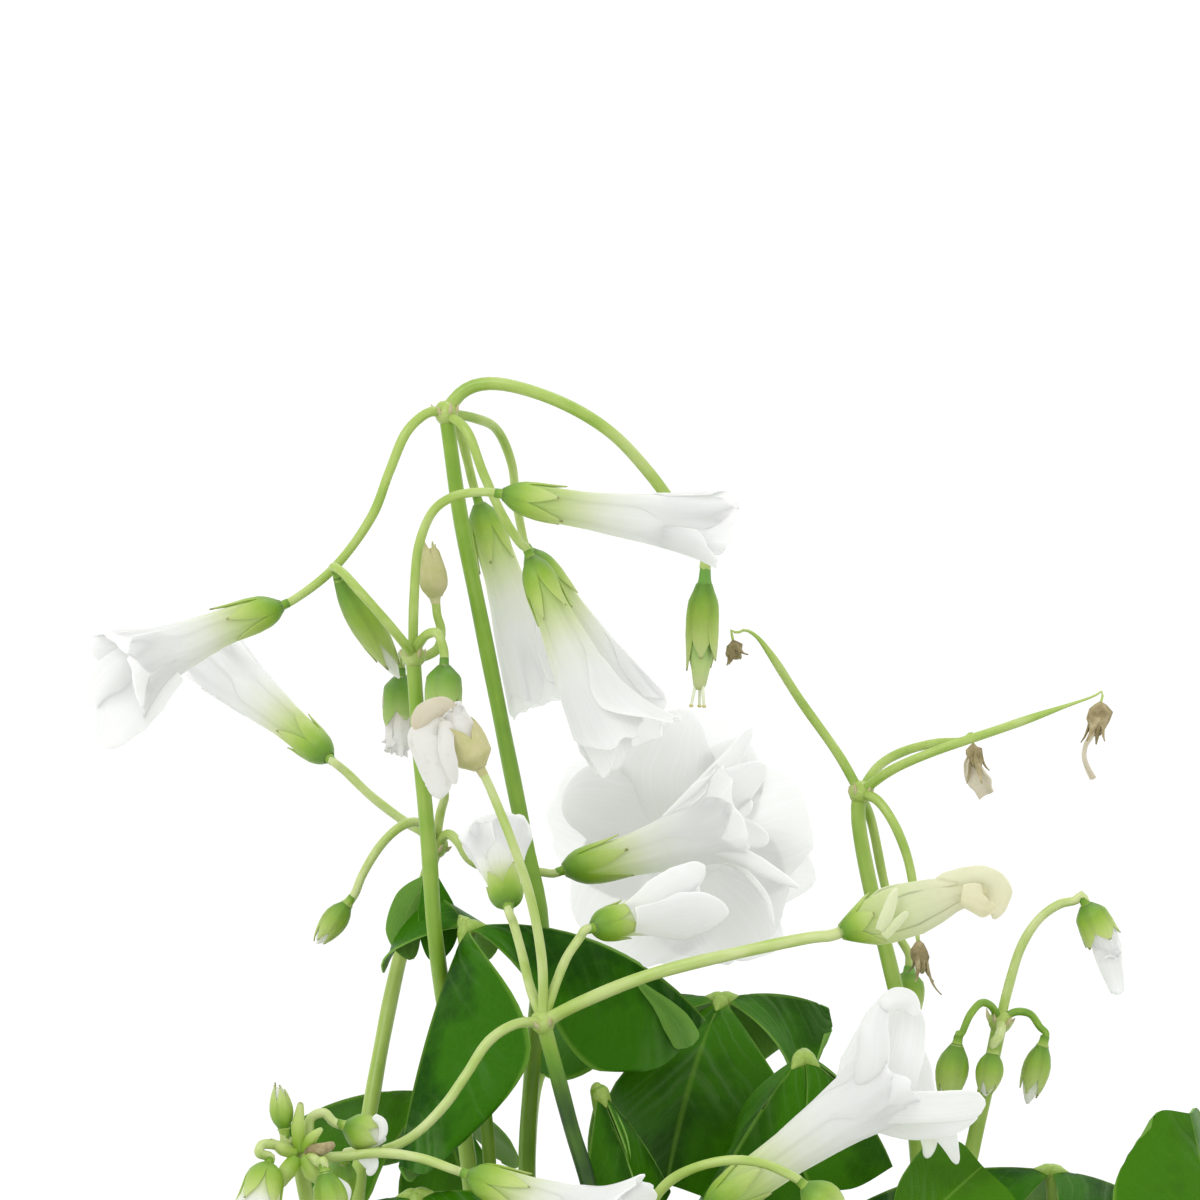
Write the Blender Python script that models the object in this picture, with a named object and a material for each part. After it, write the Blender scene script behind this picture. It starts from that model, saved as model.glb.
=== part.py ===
"""A potted shamrock in flower: trifoliate leaves on long stalks, umbels of white
funnel flowers on arching pedicels, buds, spent heads and seed pods, rooted in
potting soil in a plain pot.

Metres, +Z up. The origin is the centre of the pot's base. The plant is seen from
the front along +Y, with +X to the right.
"""

import math
import random

import bpy
import bmesh
from mathutils import Matrix, Vector
from mathutils.bvhtree import BVHTree

# ---------------------------------------------------------------- dimensions
MM = 0.001
POT_H = 0.088          # height of the pot
POT_R_BASE = 0.037     # outer radius at the base
POT_R_TOP = 0.0495     # outer radius just under the rim band
RIM_R = 0.0535         # outer radius of the rim band
RIM_H = 0.017          # height of the rim band
WALL = 0.0034          # wall thickness
FLOOR = 0.0046         # floor thickness
DRAIN_R = 0.0048       # radius of each of the four drain holes
DRAIN_AT = 0.0205      # distance of the drain holes from the pot's axis
SOIL_Z = 0.0775        # level of the potting soil
GAP = 0.0003           # air between pieces that touch

STALK_R = 0.00082      # radius of a flower stem (peduncle)
PEDICEL_R = 0.00046    # radius of a flower's own stalk
PETIOLE_R = 0.00078    # radius of a leaf stalk
BLADE = 0.0006         # thickness of a leaflet

# The plant is laid out on a front elevation drawn in perspective: px runs right
# and py runs down in tenths of a millimetre at the plane of the pot's axis, and
# mm is the depth behind (+) or in front of (-) that plane.
EYE_D = 0.55           # distance of the drawing's eye in front of the pot's axis
EYE_X = -0.006
EYE_Z = 0.223
UNIT = 0.0001
CANOPY = 17            # leaves placed by the rule


def at(px, py, mm=0.0):
    k = (EYE_D + mm * MM) / EYE_D
    return Vector((EYE_X + (px - 600) * UNIT * k, mm * MM, EYE_Z - (py - 600) * UNIT * k))


def drawn(p):
    """The front elevation's (px, py) of a point."""
    k = (EYE_D + p.y) / EYE_D
    return 600 + (p.x - EYE_X) / (UNIT * k), 600 - (p.z - EYE_Z) / (UNIT * k)


def foot(x_mm, y_mm):
    """Where a stalk meets the soil."""
    return Vector((x_mm * MM, y_mm * MM, SOIL_Z + GAP))


# ------------------------------------------------------------------- routes
def smooth(points, n):
    """n points, evenly spaced, on a centripetal Catmull-Rom curve."""
    pts = [Vector(p) for p in points]
    pts = [pts[0] * 2 - pts[1]] + pts + [pts[-1] * 2 - pts[-2]]
    dense = []
    for i in range(1, len(pts) - 2):
        p0, p1, p2, p3 = pts[i - 1:i + 3]
        t0 = 0.0
        t1 = t0 + max((p1 - p0).length, 1e-9) ** 0.5
        t2 = t1 + max((p2 - p1).length, 1e-9) ** 0.5
        t3 = t2 + max((p3 - p2).length, 1e-9) ** 0.5
        for j in range(24):
            t = t1 + (t2 - t1) * j / 24
            a1 = p0 * ((t1 - t) / (t1 - t0)) + p1 * ((t - t0) / (t1 - t0))
            a2 = p1 * ((t2 - t) / (t2 - t1)) + p2 * ((t - t1) / (t2 - t1))
            a3 = p2 * ((t3 - t) / (t3 - t2)) + p3 * ((t - t2) / (t3 - t2))
            b1 = a1 * ((t2 - t) / (t2 - t0)) + a2 * ((t - t0) / (t2 - t0))
            b2 = a2 * ((t3 - t) / (t3 - t1)) + a3 * ((t - t1) / (t3 - t1))
            dense.append(b1 * ((t2 - t) / (t2 - t1)) + b2 * ((t - t1) / (t2 - t1)))
    dense.append(pts[-2].copy())
    run = [0.0]
    for a, b in zip(dense, dense[1:]):
        run.append(run[-1] + (b - a).length)
    out, k = [], 0
    for i in range(n):
        want = run[-1] * i / (n - 1)
        while k < len(run) - 2 and run[k + 1] < want:
            k += 1
        f = (want - run[k]) / max(run[k + 1] - run[k], 1e-12)
        out.append(dense[k].lerp(dense[k + 1], min(max(f, 0), 1)))
    return out


def frames(path):
    """A tangent and two normals at each point, turned as little as possible."""
    tans = []
    for i in range(len(path)):
        a, b = path[max(i - 1, 0)], path[min(i + 1, len(path) - 1)]
        tans.append((b - a).normalized())
    side = tans[0].orthogonal().normalized()
    out = []
    for t in tans:
        side = (side - t * side.dot(t)).normalized()
        out.append((t, side, t.cross(side).normalized()))
    return out


def tube(path, radii, sides):
    """(verts, faces) of a closed tube along path."""
    verts, faces = [], []
    for p, r, (_, u, v) in zip(path, radii, frames(path)):
        for k in range(sides):
            a = 2 * math.pi * k / sides
            verts.append(p + u * (r * math.cos(a)) + v * (r * math.sin(a)))
    n = len(path)
    for i in range(n - 1):
        for k in range(sides):
            k2 = (k + 1) % sides
            faces.append((i * sides + k, i * sides + k2, (i + 1) * sides + k2, (i + 1) * sides + k))
    faces.append(tuple(range(sides))[::-1])
    faces.append(tuple((n - 1) * sides + k for k in range(sides)))
    return verts, faces


def taper(n, r0, r1):
    return [r0 + (r1 - r0) * i / (n - 1) for i in range(n)]


def trimmed(path, cut):
    """The path with its last stretch of length cut taken off."""
    path = list(path)
    while cut > 0 and len(path) > 2:
        d = (path[-1] - path[-2]).length
        if d > cut:
            path[-1] = path[-1] + (path[-2] - path[-1]).normalized() * cut
            break
        path.pop()
        cut -= d
    return path


# ------------------------------------------------------------------ leaflets
def half_width(u, peak=0.80, end=0.78):
    """Half the leaflet's width at u along it, as a share of the widest."""
    if u < peak:
        return 0.045 + 0.955 * math.sin(0.5 * math.pi * (u / peak) ** 0.92) ** 1.12
    return 1.0 - (1.0 - end) * ((u - peak) / (1.0 - peak)) ** 2


def reach(v):
    """The leaflet's length at v across it: a shallow notch, then rounded corners."""
    v = abs(v)
    return 0.925 + 0.085 * v ** 1.3 - 0.14 * v ** 5


def leaflet_point(lf, u, v):
    """A point of the leaflet's middle surface and the normal there.

    lf holds base, out (first direction), up (normal at the base), length, width
    (half), fold (degrees that each half lifts, negative to hang), droop (degrees
    that the midrib bends away from up), sweep (degrees it bends sideways), cup
    (degrees that a half curves), far (the +v half's share of the width), peak
    (where it is widest) and end (the share of that width at its far end).
    """
    d = lf["out"].normalized()
    n = lf["up"] - d * lf["up"].dot(d)
    n.normalize()
    s = d.cross(n).normalized()
    length = lf["length"] * reach(v)
    droop, sweep = math.radians(lf["droop"]), math.radians(lf.get("sweep", 0))
    q = u * length / lf["length"]
    a = droop * q
    if abs(droop) > 1e-4:
        k = lf["length"] / droop
        along, down = k * math.sin(a), k * (1 - math.cos(a))
    else:
        along, down = lf["length"] * q, 0.0
    mid = lf["base"] + d * along - n * down
    mid += s * (lf["length"] * 0.5 * q * q * math.sin(sweep))
    dn = n * math.cos(a) + d * math.sin(a)          # the normal, tipped with the midrib
    w = v * lf["width"] * half_width(u, lf["peak"], lf["end"]) * (lf["far"] if v > 0 else 1.0)
    f = math.radians(lf["fold"]) * min(1.0, 0.35 + 1.3 * q)
    c = math.radians(lf.get("cup", -18)) * abs(v)
    ang = f + c * 0.5
    p = mid + s * (w * math.cos(ang)) + dn * (abs(w) * math.sin(ang))
    g = f + c
    nn = dn * math.cos(g) - s * (math.copysign(1, v) if v else 0) * math.sin(g)
    return p, nn.normalized()


def leaflet_plate(lf, us, vs, thick):
    """(verts, faces) of a leaflet as a thin closed plate."""
    top, low = [], []
    for u in us:
        for v in vs:
            p, n = leaflet_point(lf, u, v)
            top.append(p + n * (thick / 2))
            low.append(p - n * (thick / 2))
    nu, nv = len(us), len(vs)
    k = nu * nv
    faces = []
    for i in range(nu - 1):
        for j in range(nv - 1):
            a, b, c, d = i * nv + j, i * nv + j + 1, (i + 1) * nv + j + 1, (i + 1) * nv + j
            if j < nv // 2:
                faces += [(a, b, c), (a, c, d), (k + a, k + c, k + b), (k + a, k + d, k + c)]
            else:
                faces += [(a, b, d), (b, c, d), (k + a, k + d, k + b), (k + b, k + d, k + c)]
    ring = [j for j in range(nv)] + [i * nv + nv - 1 for i in range(1, nu)]
    ring += [(nu - 1) * nv + j for j in range(nv - 2, -1, -1)] + [i * nv for i in range(nu - 2, 0, -1)]
    for a, b in zip(ring, ring[1:] + ring[:1]):
        faces.append((b, a, k + a, k + b))
    return top + low, faces


def leaf_spec(name, route, leaflets, size=1.0):
    """A leaf from the route of its stalk (foot first) and its three leaflets."""
    route = [route[0], route[0] + Vector((0, 0, 0.006))] + list(route[1:])
    hub = route[-1]
    out = []
    for spec in leaflets:
        d = Vector(spec["out"]).normalized()
        out.append({**spec, "out": d, "up": Vector(spec["up"]).normalized(),
                    "base": hub + d * 0.0004, "length": spec["length"] * MM * size,
                    "width": spec["width"] * MM * size})
    return {"name": name, "route": route, "leaflets": out}


# ------------------------------------------------------- the leaves in front
def lf(out, up, length, width, fold, droop, sweep=0, cup=-18, far=1.0, peak=0.80, end=0.78):
    return {"out": out, "up": up, "length": length, "width": width, "fold": fold, "droop": droop,
            "sweep": sweep, "cup": cup, "far": far, "peak": peak, "end": end}


def front_leaves():
    leaves = []

    def add(name, pts, leaflets, size=1.0):
        leaves.append(leaf_spec(name, [Vector(p) for p in pts], leaflets, size))

    add("leaf_01", [foot(-9, -3), at(522, 1600, 0), at(494, 1250, 1.5), at(488, 1140, 1.0),
                    at(477, 1045, 0), at(467, 985, -1), at(467, 928, -1.5)], [
        lf((1, -0.18, 0.15), (0.12, -0.1, 1), 28.5, 11.6, -60, 64, 0, -8),
        lf((-0.36, -0.46, -0.82), (-0.93, -0.10, 0.36), 28, 13, -42, 16, 0, -8, 0.6, 0.6, 0.34),
        lf((-0.42, 0.72, 0.62), (-0.2, 0.2, 1), 15.5, 9.5, -44, 52, 0, -14, 1.0, 0.62, 0.42)])
    add("leaf_02", [foot(7, 9), at(720, 1600, 12), at(735, 1250, 13), at(733, 1100, 12.5),
                    at(727, 1040, 12), at(722, 1000, 11)], [
        lf((-0.85, 0.42, 0.12), (0, 0, 1), 22, 11.5, -30, 30),
        lf((-0.24, -0.60, -0.40), (-0.1, -0.55, 0.9), 24, 14, -30, 46, 0, -12),
        lf((0.80, 0.45, 0.16), (0.1, -0.1, 1), 14.0, 11, -54, 36, 0, -8, 1.0, 0.60, 0.30)])
    add("leaf_03", [foot(12, -8), at(770, 1600, -7), at(800, 1250, -5), at(806, 1120, -4.5),
                    at(803, 1056, -5)], [
        lf((-0.50, -0.42, -0.55), (-0.3, -0.7, 0.6), 20, 9.5, -46, 26),
        lf((0.62, -0.12, -0.42), (0.5, -0.3, 0.8), 15, 8.5, -46, 40),
        lf((0.25, 0.90, -0.10), (0, 0, 1), 14, 8, -40, 50)])
    add("leaf_04", [foot(2, -13), at(668, 1650, -12), at(640, 1400, -10), at(622, 1250, -9.5),
                    at(604, 1140, -9.5), at(598, 1090, -10)], [
        lf((0.40, -0.22, -0.90), (0.75, -0.35, 0.45), 17, 5.0, -62, 8, 0, -6),
        lf((0.30, 0.45, -0.80), (0.2, 0.8, 0.6), 15, 4.6, -60, 10, 0, -6),
        lf((0.62, 0.35, -0.66), (0.6, 0.3, 0.8), 14, 4.6, -60, 20, 0, -6)])
    add("leaf_05", [foot(22, 8), at(950, 1600, 12), at(1030, 1350, 16), at(1052, 1230, 17),
                    at(1052, 1172, 16)], [
        lf((-0.96, -0.16, 0.16), (0, -0.25, 1), 22, 13, -42, 42),
        lf((0.72, -0.55, 0.02), (0.1, 0, 1), 20, 12, -30, 48),
        lf((0.20, 0.95, 0.02), (0, 0, 1), 20, 12, -24, 40)])
    add("leaf_06", [foot(27, -9), at(1060, 1750, -10), at(1195, 1500, -10), at(1219, 1390, -9),
                    at(1223, 1322, -8)], [
        lf((-0.07, 0.10, 1.0), (0.80, -0.60, 0.12), 22, 12, -14, 12, 0, -10),
        lf((0.72, -0.60, -0.05), (0, 0, 1), 19, 12, -28, 40),
        lf((0.10, 0.80, -0.30), (0, 0, 1), 19, 11, -28, 40)])
    add("leaf_07", [foot(-19, 15), at(455, 1600, 18), at(444, 1250, 18), at(440, 1150, 18),
                    at(436, 1094, 18)], [
        lf((-0.97, -0.08, 0.14), (0, -0.2, 1), 18, 11.5, -50, 50),
        lf((0.26, -0.22, -0.75), (0.3, -0.8, 0.3), 16, 8, -40, 10),
        lf((0.10, 0.96, 0.02), (0, 0, 1), 16, 10, -30, 40)])
    add("leaf_08", [foot(16, -17), at(830, 1600, -20), at(884, 1380, -20), at(894, 1290, -19),
                    at(894, 1252, -19)], [
        lf((-0.86, -0.10, 0.24), (0.1, -0.6, 0.8), 13, 8.5, -34, 34),
        lf((0.60, -0.10, 0.66), (-0.2, -0.9, 0.4), 12.5, 8.0, -20, 20),
        lf((0.25, -0.85, -0.15), (0, 0, 1), 19, 12, -34, 44)])
    add("leaf_09", [foot(-16, -12), at(470, 1600, -13), at(428, 1320, -12), at(420, 1240, -12),
                    at(416, 1196, -12)], [
        lf((0.90, -0.30, 0.20), (0, -0.3, 1), 14, 9, -38, 34),
        lf((-0.85, -0.10, -0.05), (0, 0, 1), 19, 12, -38, 44),
        lf((0.10, -0.80, -0.45), (0, -0.3, 1), 20, 12, -38, 34)])
    return leaves


# ------------------------------------------------------ flower stems, flowers
# Each umbel is a stem (foot first) whose top carries several pedicels. Each head
# ends a pedicel: kind, then the drawing's points where it begins and ends, and
# its radius in millimetres at the end.
def umbels():
    return {
        "A": {"stem": [foot(-4, 2), at(575, 1650, 4.5), at(540, 1350, 5.2), at(527, 1170, 5.2),
                       at(533, 1057, 5.2), at(541, 926, 4.8), at(527, 850, 4), at(505, 740, 2.5),
                       at(481, 620, 1), at(461, 520, 0.5), at(446, 413, 0)],
              "rays": {
                  "flower_a1": [(452, 413, 0), (430, 412, -1), (408, 430, -2), (390, 470, -2.4),
                                (372, 516, -2.4), (332, 570, -2.0), (281, 606, -3)],
                  "flower_a2": [(452, 413, 0), (458, 428, 2.4), (466, 455, 3.4), (472, 480, 4.0),
                                (479, 504, 4.2)],
                  "flower_a3": [(452, 413, 0), (466, 430, -2.2), (484, 475, -3.0), (504, 518, -3.2),
                                (521, 544, -3.2), (531, 558, -3.2)],
                  "flower_a4": [(452, 413, 0), (474, 418, 3), (497, 430, 7.5), (512, 465, 11),
                                (516, 500, 12.5), (522, 532, 13.5), (530, 552, 14)],
                  "seed_pod_a5": [(452, 413, 0), (459, 395, 0.5), (474, 386, 0.5), (500, 384, 0),
                                  (560, 402, -1), (610, 432, -1), (650, 474, 0), (684, 522, 1),
                                  (705, 568, 1.5)]}},
        "B": {"stem": [foot(-12, -8), at(530, 1650, -6), at(488, 1350, -1.0), at(468, 1160, 0.2),
                       at(445, 1010, 0.5), at(434, 925, -2.6), at(429, 850, -3.6), at(420, 750, -4.2),
                       at(413, 656, -4)],
              "rays": {
                  "flower_b1": [(413, 654, -4), (414, 600, -5), (419, 545, -6.5), (434, 510, -7.5),
                                (455, 496, -8.5), (480, 492, -8.5), (503, 494, -8.5)],
                  "bud_b2": [(413, 654, -4), (404, 643, -6.4), (378, 612, -8.2), (354, 585, -8.4),
                             (343, 573, -7.2), (338, 575, -5.4)],
                  "seed_pod_b3": [(413, 654, -4), (426, 656, -2.2), (438, 648, -1.8), (441, 630, -1.8),
                                  (436, 604, -1.8)],
                  "spent_flower_b4": [(413, 654, -4), (420, 642, -5.4), (428, 634, -6.4),
                                      (437, 633, -7), (442, 644, -7), (444, 666, -7)],
                  "spent_flower_b5": [(413, 654, -4), (405, 652, 0), (400, 660, 4.4), (401, 676, 6.4)]}},
        "C": {"stem": [foot(2, -10), at(650, 1650, -10), at(618, 1350, -13), at(590, 1190, -15),
                       at(572, 1130, -16), at(556, 1070, -17), at(543, 1022, -18)],
              "rays": {
                  "spent_flower_c1": [(543, 1021, -18), (542, 962, -19), (531, 900, -20),
                                      (515, 850, -21), (496, 802, -21.5), (480, 768, -22)],
                  "flower_c2": [(543, 1021, -18), (531, 990, -17), (521, 950, -16.4),
                                (513, 922, -16), (508, 905, -15.6)],
                  "flower_c3": [(543, 1021, -18), (555, 986, -17.8), (567, 957, -17.4),
                                (581, 936, -17), (593, 928, -16.6)],
                  "faded_flower_c4": [(543, 1021, -18), (580, 1003, -19.5), (650, 975, -21),
                                      (750, 950, -22), (815, 937, -23), (841, 932, -23)],
                  "spent_flower_c5": [(543, 1021, -18), (516, 1024, -20), (490, 1040, -21),
                                      (466, 1075, -22), (444, 1106, -23), (410, 1138, -24),
                                      (375, 1152, -23.4), (343, 1162, -22)]}},
        "D": {"stem": [foot(-24, 10), at(415, 1700, 8), at(368, 1400, 6.5), at(356, 1210, 8),
                       at(370, 1110, 10.5), at(402, 950, 16.8), at(422, 892, 16.4), at(436, 846, 14)],
              "rays": {
                  "flower_d1": [(436, 844, 14), (424, 833, 14), (404, 821, 15), (370, 795, 16),
                                (345, 771, 16.5), (329, 758, 17)],
                  "bud_d2": [(436, 844, 14), (427, 828, 12), (414, 822, 10.5), (400, 827, 9.5),
                             (381, 845, 9), (362, 876, 8.5), (348, 903, 8.5)],
                  "flower_d3": [(436, 844, 14), (448, 834, 12), (458, 842, 10.6), (470, 860, 9.8),
                                (500, 871, 9.2), (540, 872, 8.8), (564, 870, 8.6)],
                  "dry_head_d4": [(436, 844, 14), (440, 815, 12.8), (445, 795, 11.6), (443, 772, 10.6)]}},
        "E": {"stem": [foot(13, 6), at(850, 1650, 7), at(912, 1350, 6), at(920, 1200, 5.5),
                       at(912, 1100, 5), at(901, 1015, 5), at(889, 962, 5), at(871, 890, 5),
                       at(858, 815, 5), at(860, 793, 5)],
              "rays": {
                  "dry_head_e1": [(860, 791, 5), (840, 757, 5.4), (800, 700, 6), (771, 655, 6),
                                  (756, 636, 6), (745, 630, 6), (736, 633, 6), (733, 640, 6)],
                  "dry_head_e2": [(860, 791, 5), (880, 765, 7.4), (905, 751, 8.4), (940, 742, 8.6),
                                  (964, 738, 8.6), (973, 743, 8.6)],
                  "dry_head_e3": [(860, 791, 5), (890, 771, 3), (930, 753, 2), (1000, 729, 2),
                                  (1060, 708, 2), (1094, 696, 2), (1101, 702, 2)],
                  "dry_head_e4": [(860, 791, 5), (877, 800, 3), (893, 822, 1.8), (907, 856, 1.4),
                                  (914, 892, 1.4), (918, 940, 1.4)],
                  "seed_pod_e5": [(860, 791, 5), (871, 820, 7.6), (884, 882, 9.4), (898, 934, 10),
                                  (909, 966, 10)]}},
        "G": {"stem": [foot(6, -23), at(690, 1700, -27), at(655, 1400, -29), at(642, 1290, -30),
                       at(640, 1240, -30)],
              "rays": {
                  "flower_g1": [(640, 1238, -30), (655, 1230, -28.6), (680, 1220, -27),
                                (706, 1212, -26)],
                  "bud_g2": [(640, 1238, -30), (650, 1206, -31.5), (670, 1181, -32.5),
                             (700, 1166, -33.5), (735, 1160, -34), (765, 1164, -34.4),
                             (790, 1175, -34.6), (805, 1186, -34.6)]}},
        "H": {"stem": [foot(20, -13), at(900, 1700, -9), at(944, 1380, -6), at(960, 1200, -5.5),
                       at(972, 1150, -5.5), at(983, 1100, -5.5), at(992, 1060, -6), at(1000, 1022, -6)],
              "rays": {
                  "flower_h1": [(1000, 1020, -6), (1009, 985, -6), (1022, 945, -6), (1040, 918, -6),
                                (1060, 904, -6), (1076, 900, -6), (1086, 905, -6)],
                  "bud_h2": [(1000, 1020, -6), (991, 1006, -7.4), (981, 1003, -8.6), (970, 1015, -9.4),
                             (961, 1034, -9.8), (957, 1044, -10)],
                  "bud_h3": [(1000, 1020, -6), (1001, 1030, -8.8), (997, 1040, -10.4), (993, 1052, -10.8)],
                  "bud_h4": [(1000, 1020, -6), (1015, 1012, -6), (1030, 1014, -6), (1040, 1027, -6),
                             (1043, 1044, -6)]}},
        "I": {"stem": [foot(-13, -21), at(490, 1700, -27), at(385, 1400, -29), at(325, 1260, -29),
                       at(304, 1185, -28), at(300, 1156, -28)],
              "rays": {
                  "bud_i1": [(300, 1154, -28), (291, 1142, -28.6), (284, 1130, -29)],
                  "bud_i2": [(300, 1154, -28), (308, 1135, -27.6), (311, 1118, -27.4), (324, 1113, -27.4),
                             (345, 1126, -27.4)],
                  "flower_i3": [(300, 1154, -28), (280, 1146, -30), (262, 1145, -31), (259, 1153, -31.4),
                                (268, 1166, -31.6)],
                  "bud_i4": [(300, 1154, -28), (312, 1157, -30.4), (320, 1163, -32), (325, 1172, -32.4)],
                  "flower_i5": [(300, 1154, -28), (336, 1157, -28.6), (380, 1153, -29.6),
                                (420, 1158, -31), (452, 1169, -32), (469, 1175, -32)]}},
        "K": {"stem": [foot(-3, 16), at(560, 1650, 30), at(530, 1350, 36), at(527, 1230, 38),
                       at(529, 1150, 39), at(536, 1082, 40), at(556, 1040, 41)],
              "rays": {
                  "flower_k1": [(556, 1038, 41), (586, 992, 43), (612, 950, 44), (640, 912, 44.5),
                                (676, 878, 43), (694, 864, 40)]}},
    }


# kind, end point on the drawing, end radius mm, length share taken by the calyx
HEADS = {
    "flower_a1": ("open", (108, 684, -9), 6.0),
    "flower_a2": ("open", (543, 704, 4.5), 4.4),
    "flower_a3": ("open", (620, 742, -7), 5.2),
    "flower_a4": ("open", (628, 706, 22), 4.6),
    "seed_pod_a5": ("pod", (699, 690, 1.5), 1.45),
    "flower_b1": ("open", (722, 524, -10), 4.2),
    "bud_b2": ("bud", (399, 678, 1.6), 1.9),
    "seed_pod_b3": ("pod", (430, 548, -1.8), 1.3),
    "spent_flower_b4": ("spent", (441, 792, -8.6), 2.0),
    "spent_flower_b5": ("spent", (400, 757, 7.4), 1.9),
    "spent_flower_c1": ("spent", (447, 708, -22), 2.0),
    "flower_c2": ("open", (497, 838, -9.5), 4.6),
    "flower_c3": ("open", (709, 898, -7.0), 4.0),
    "faded_flower_c4": ("faded", (992, 880, -22), 3.0),
    "spent_flower_c5": ("spent", (322, 1226, -19), 1.9),
    "flower_d1": ("open", (218, 662, 31), 5.0),
    "bud_d2": ("bud", (317, 944, 8.5), 1.5),
    "flower_d3": ("open", (748, 806, 10.5), 8.0),
    "flower_g1": ("open", (918, 1062, -22), 8.2),
    "flower_h1": ("spent", (1121, 990, -6), 2.0),
    "flower_i3": ("open", (243, 1262, -40), 6.0),
    "flower_i5": ("open", (628, 1232, -37), 6.0),
    "flower_k1": ("open", (682, 842, 22), 13.2),
    # small heads that belong to the stem's own body
    "bud_h2": ("bud", (946, 1104, -10), 1.75),
    "bud_h3": ("bud", (985, 1096, -10.8), 1.65),
    "bud_h4": ("bud", (1027, 1104, -6), 1.6),
    "bud_g2": ("bud", (845, 1222, -34.6), 2.1),
    "bud_i1": ("bud", (278, 1086, -29), 1.5),
    "bud_i2": ("bud", (386, 1140, -27.4), 1.9),
    "bud_i4": ("bud", (338, 1234, -33.5), 1.7),
    "dry_head_d4": ("dry", (441, 742, 9.8), 1.1),
    "dry_head_e1": ("dry", (736, 660, 6), 1.1),
    "dry_head_e2": ("dry", (981, 795, 8.6), 1.3),
    "dry_head_e3": ("dry", (1087, 776, 2), 1.1),
    "dry_head_e4": ("dry", (924, 988, 1.4), 1.1),
    "seed_pod_e5": ("pod", (908, 1024, 10), 1.6),
}
JOINED = {"bud_h2", "bud_h3", "bud_h4", "bud_g2", "bud_i1", "bud_i2", "bud_i4", "dry_head_d4",
          "dry_head_e1", "dry_head_e2", "dry_head_e3", "dry_head_e4", "seed_pod_e5"}

# Radius along the head, as (share of length, radius): the first number is a share
# of the end radius where it is negative, and otherwise millimetres.
PROFILE = {
    "open": [(0.0, 0.75), (0.07, 1.75), (0.20, 2.15), (0.34, 2.35), (0.52, 2.9), (0.76, -0.66), (1.0, -1.0)],
    "faded": [(0.0, 0.75), (0.14, 1.7), (0.32, 2.9), (0.55, 2.9), (0.80, 1.5), (1.0, 2.2)],
    "bud": [(0.0, 0.7), (0.22, -0.92), (0.45, -1.0), (0.75, -0.72), (1.0, -0.22)],
    "pod": [(0.0, 0.7), (0.16, -0.80), (0.45, -1.0), (0.80, -0.78), (1.0, -0.42)],
    "spent": [(0.0, 0.7), (0.16, 1.7), (0.40, 1.9), (0.60, -0.80), (0.80, -0.95), (1.0, -0.45)],
    "dry": [(0.0, 0.4), (0.25, -0.9), (0.6, -1.0), (1.0, -0.5)],
}


def ring(centre, u, v, r, sides, lobes=0.0, turn=0.0):
    out = []
    for k in range(sides):
        a = 2 * math.pi * k / sides
        rr = r * (1 + lobes * (1 if k % 2 == 0 else -1))
        out.append(centre + u * (rr * math.cos(a + turn)) + v * (rr * math.sin(a + turn)))
    return out


def bridge(a, b, sides):
    return [(a + k, a + (k + 1) % sides, b + (k + 1) % sides, b + k) for k in range(sides)]


def head_mesh(name, base):
    """(verts, faces) of a flower, bud, pod or dry head as one closed shape."""
    kind, end, r_end = HEADS[name]
    end = at(*end)
    axis = end - base
    length = axis.length
    d = axis.normalized()
    u = d.orthogonal().normalized()
    v = d.cross(u).normalized()
    sides = 10 if kind == "open" else 7
    verts, faces = [], []

    def radius(r):
        return (-r * r_end if r < 0 else min(r, r_end * 1.2) if kind != "open" else r) * MM

    stations = PROFILE[kind]
    for t, r in stations[:-1]:
        verts += ring(base + d * (t * length), u, v, radius(r), sides)
    n = len(stations)
    if kind == "open":
        # five petals make the funnel's mouth: long at each lobe, short between
        for k in range(sides):
            a = 2 * math.pi * k / sides
            lobe = 1.0 if k % 2 == 0 else 0.88
            r = r_end * MM * (1.0 if k % 2 == 0 else 0.90)
            verts.append(base + d * (length * lobe) + u * (r * math.cos(a)) + v * (r * math.sin(a)))
        wall = 0.0006
        for k in range(sides):
            a = 2 * math.pi * k / sides
            lobe = 0.985 if k % 2 == 0 else 0.865
            r = r_end * MM * (1.0 if k % 2 == 0 else 0.90) - wall
            verts.append(base + d * (length * lobe) + u * (r * math.cos(a)) + v * (r * math.sin(a)))
        verts += ring(base + d * (0.70 * length), u, v, max(radius(-0.66) * 0.86 - wall, 0.0012), sides)
        verts += ring(base + d * (0.48 * length), u, v, 0.0013, sides)
        n += 3
        faces.append(tuple(range(sides))[::-1])
        for i in range(n - 1):
            faces += bridge(i * sides, (i + 1) * sides, sides)
        faces.append(tuple((n - 1) * sides + k for k in range(sides)))
    else:
        t, r = stations[-1]
        verts += ring(base + d * (t * length), u, v, radius(r), sides)
        faces.append(tuple(range(sides))[::-1])
        for i in range(n - 1):
            faces += bridge(i * sides, (i + 1) * sides, sides)
        faces.append(tuple((n - 1) * sides + k for k in range(sides)))
    return verts, faces


# -------------------------------------------------- leaves placed by a rule
COARSE_U, COARSE_V = (0.0, 0.42, 0.82, 1.0), (-1.0, 0.0, 1.0)


def leaf_parts(leaf, air=0.0):
    """The tube and plates of a leaf, with air added all round to test for room."""
    path = smooth(leaf["route"], 9)
    parts = [tube(path, taper(9, PETIOLE_R * 1.12 + air, PETIOLE_R * 0.80 + air), 5)]
    for one in leaf["leaflets"]:
        parts.append(leaflet_plate(one, COARSE_U, COARSE_V, BLADE + 2 * air))
    return parts


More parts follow.
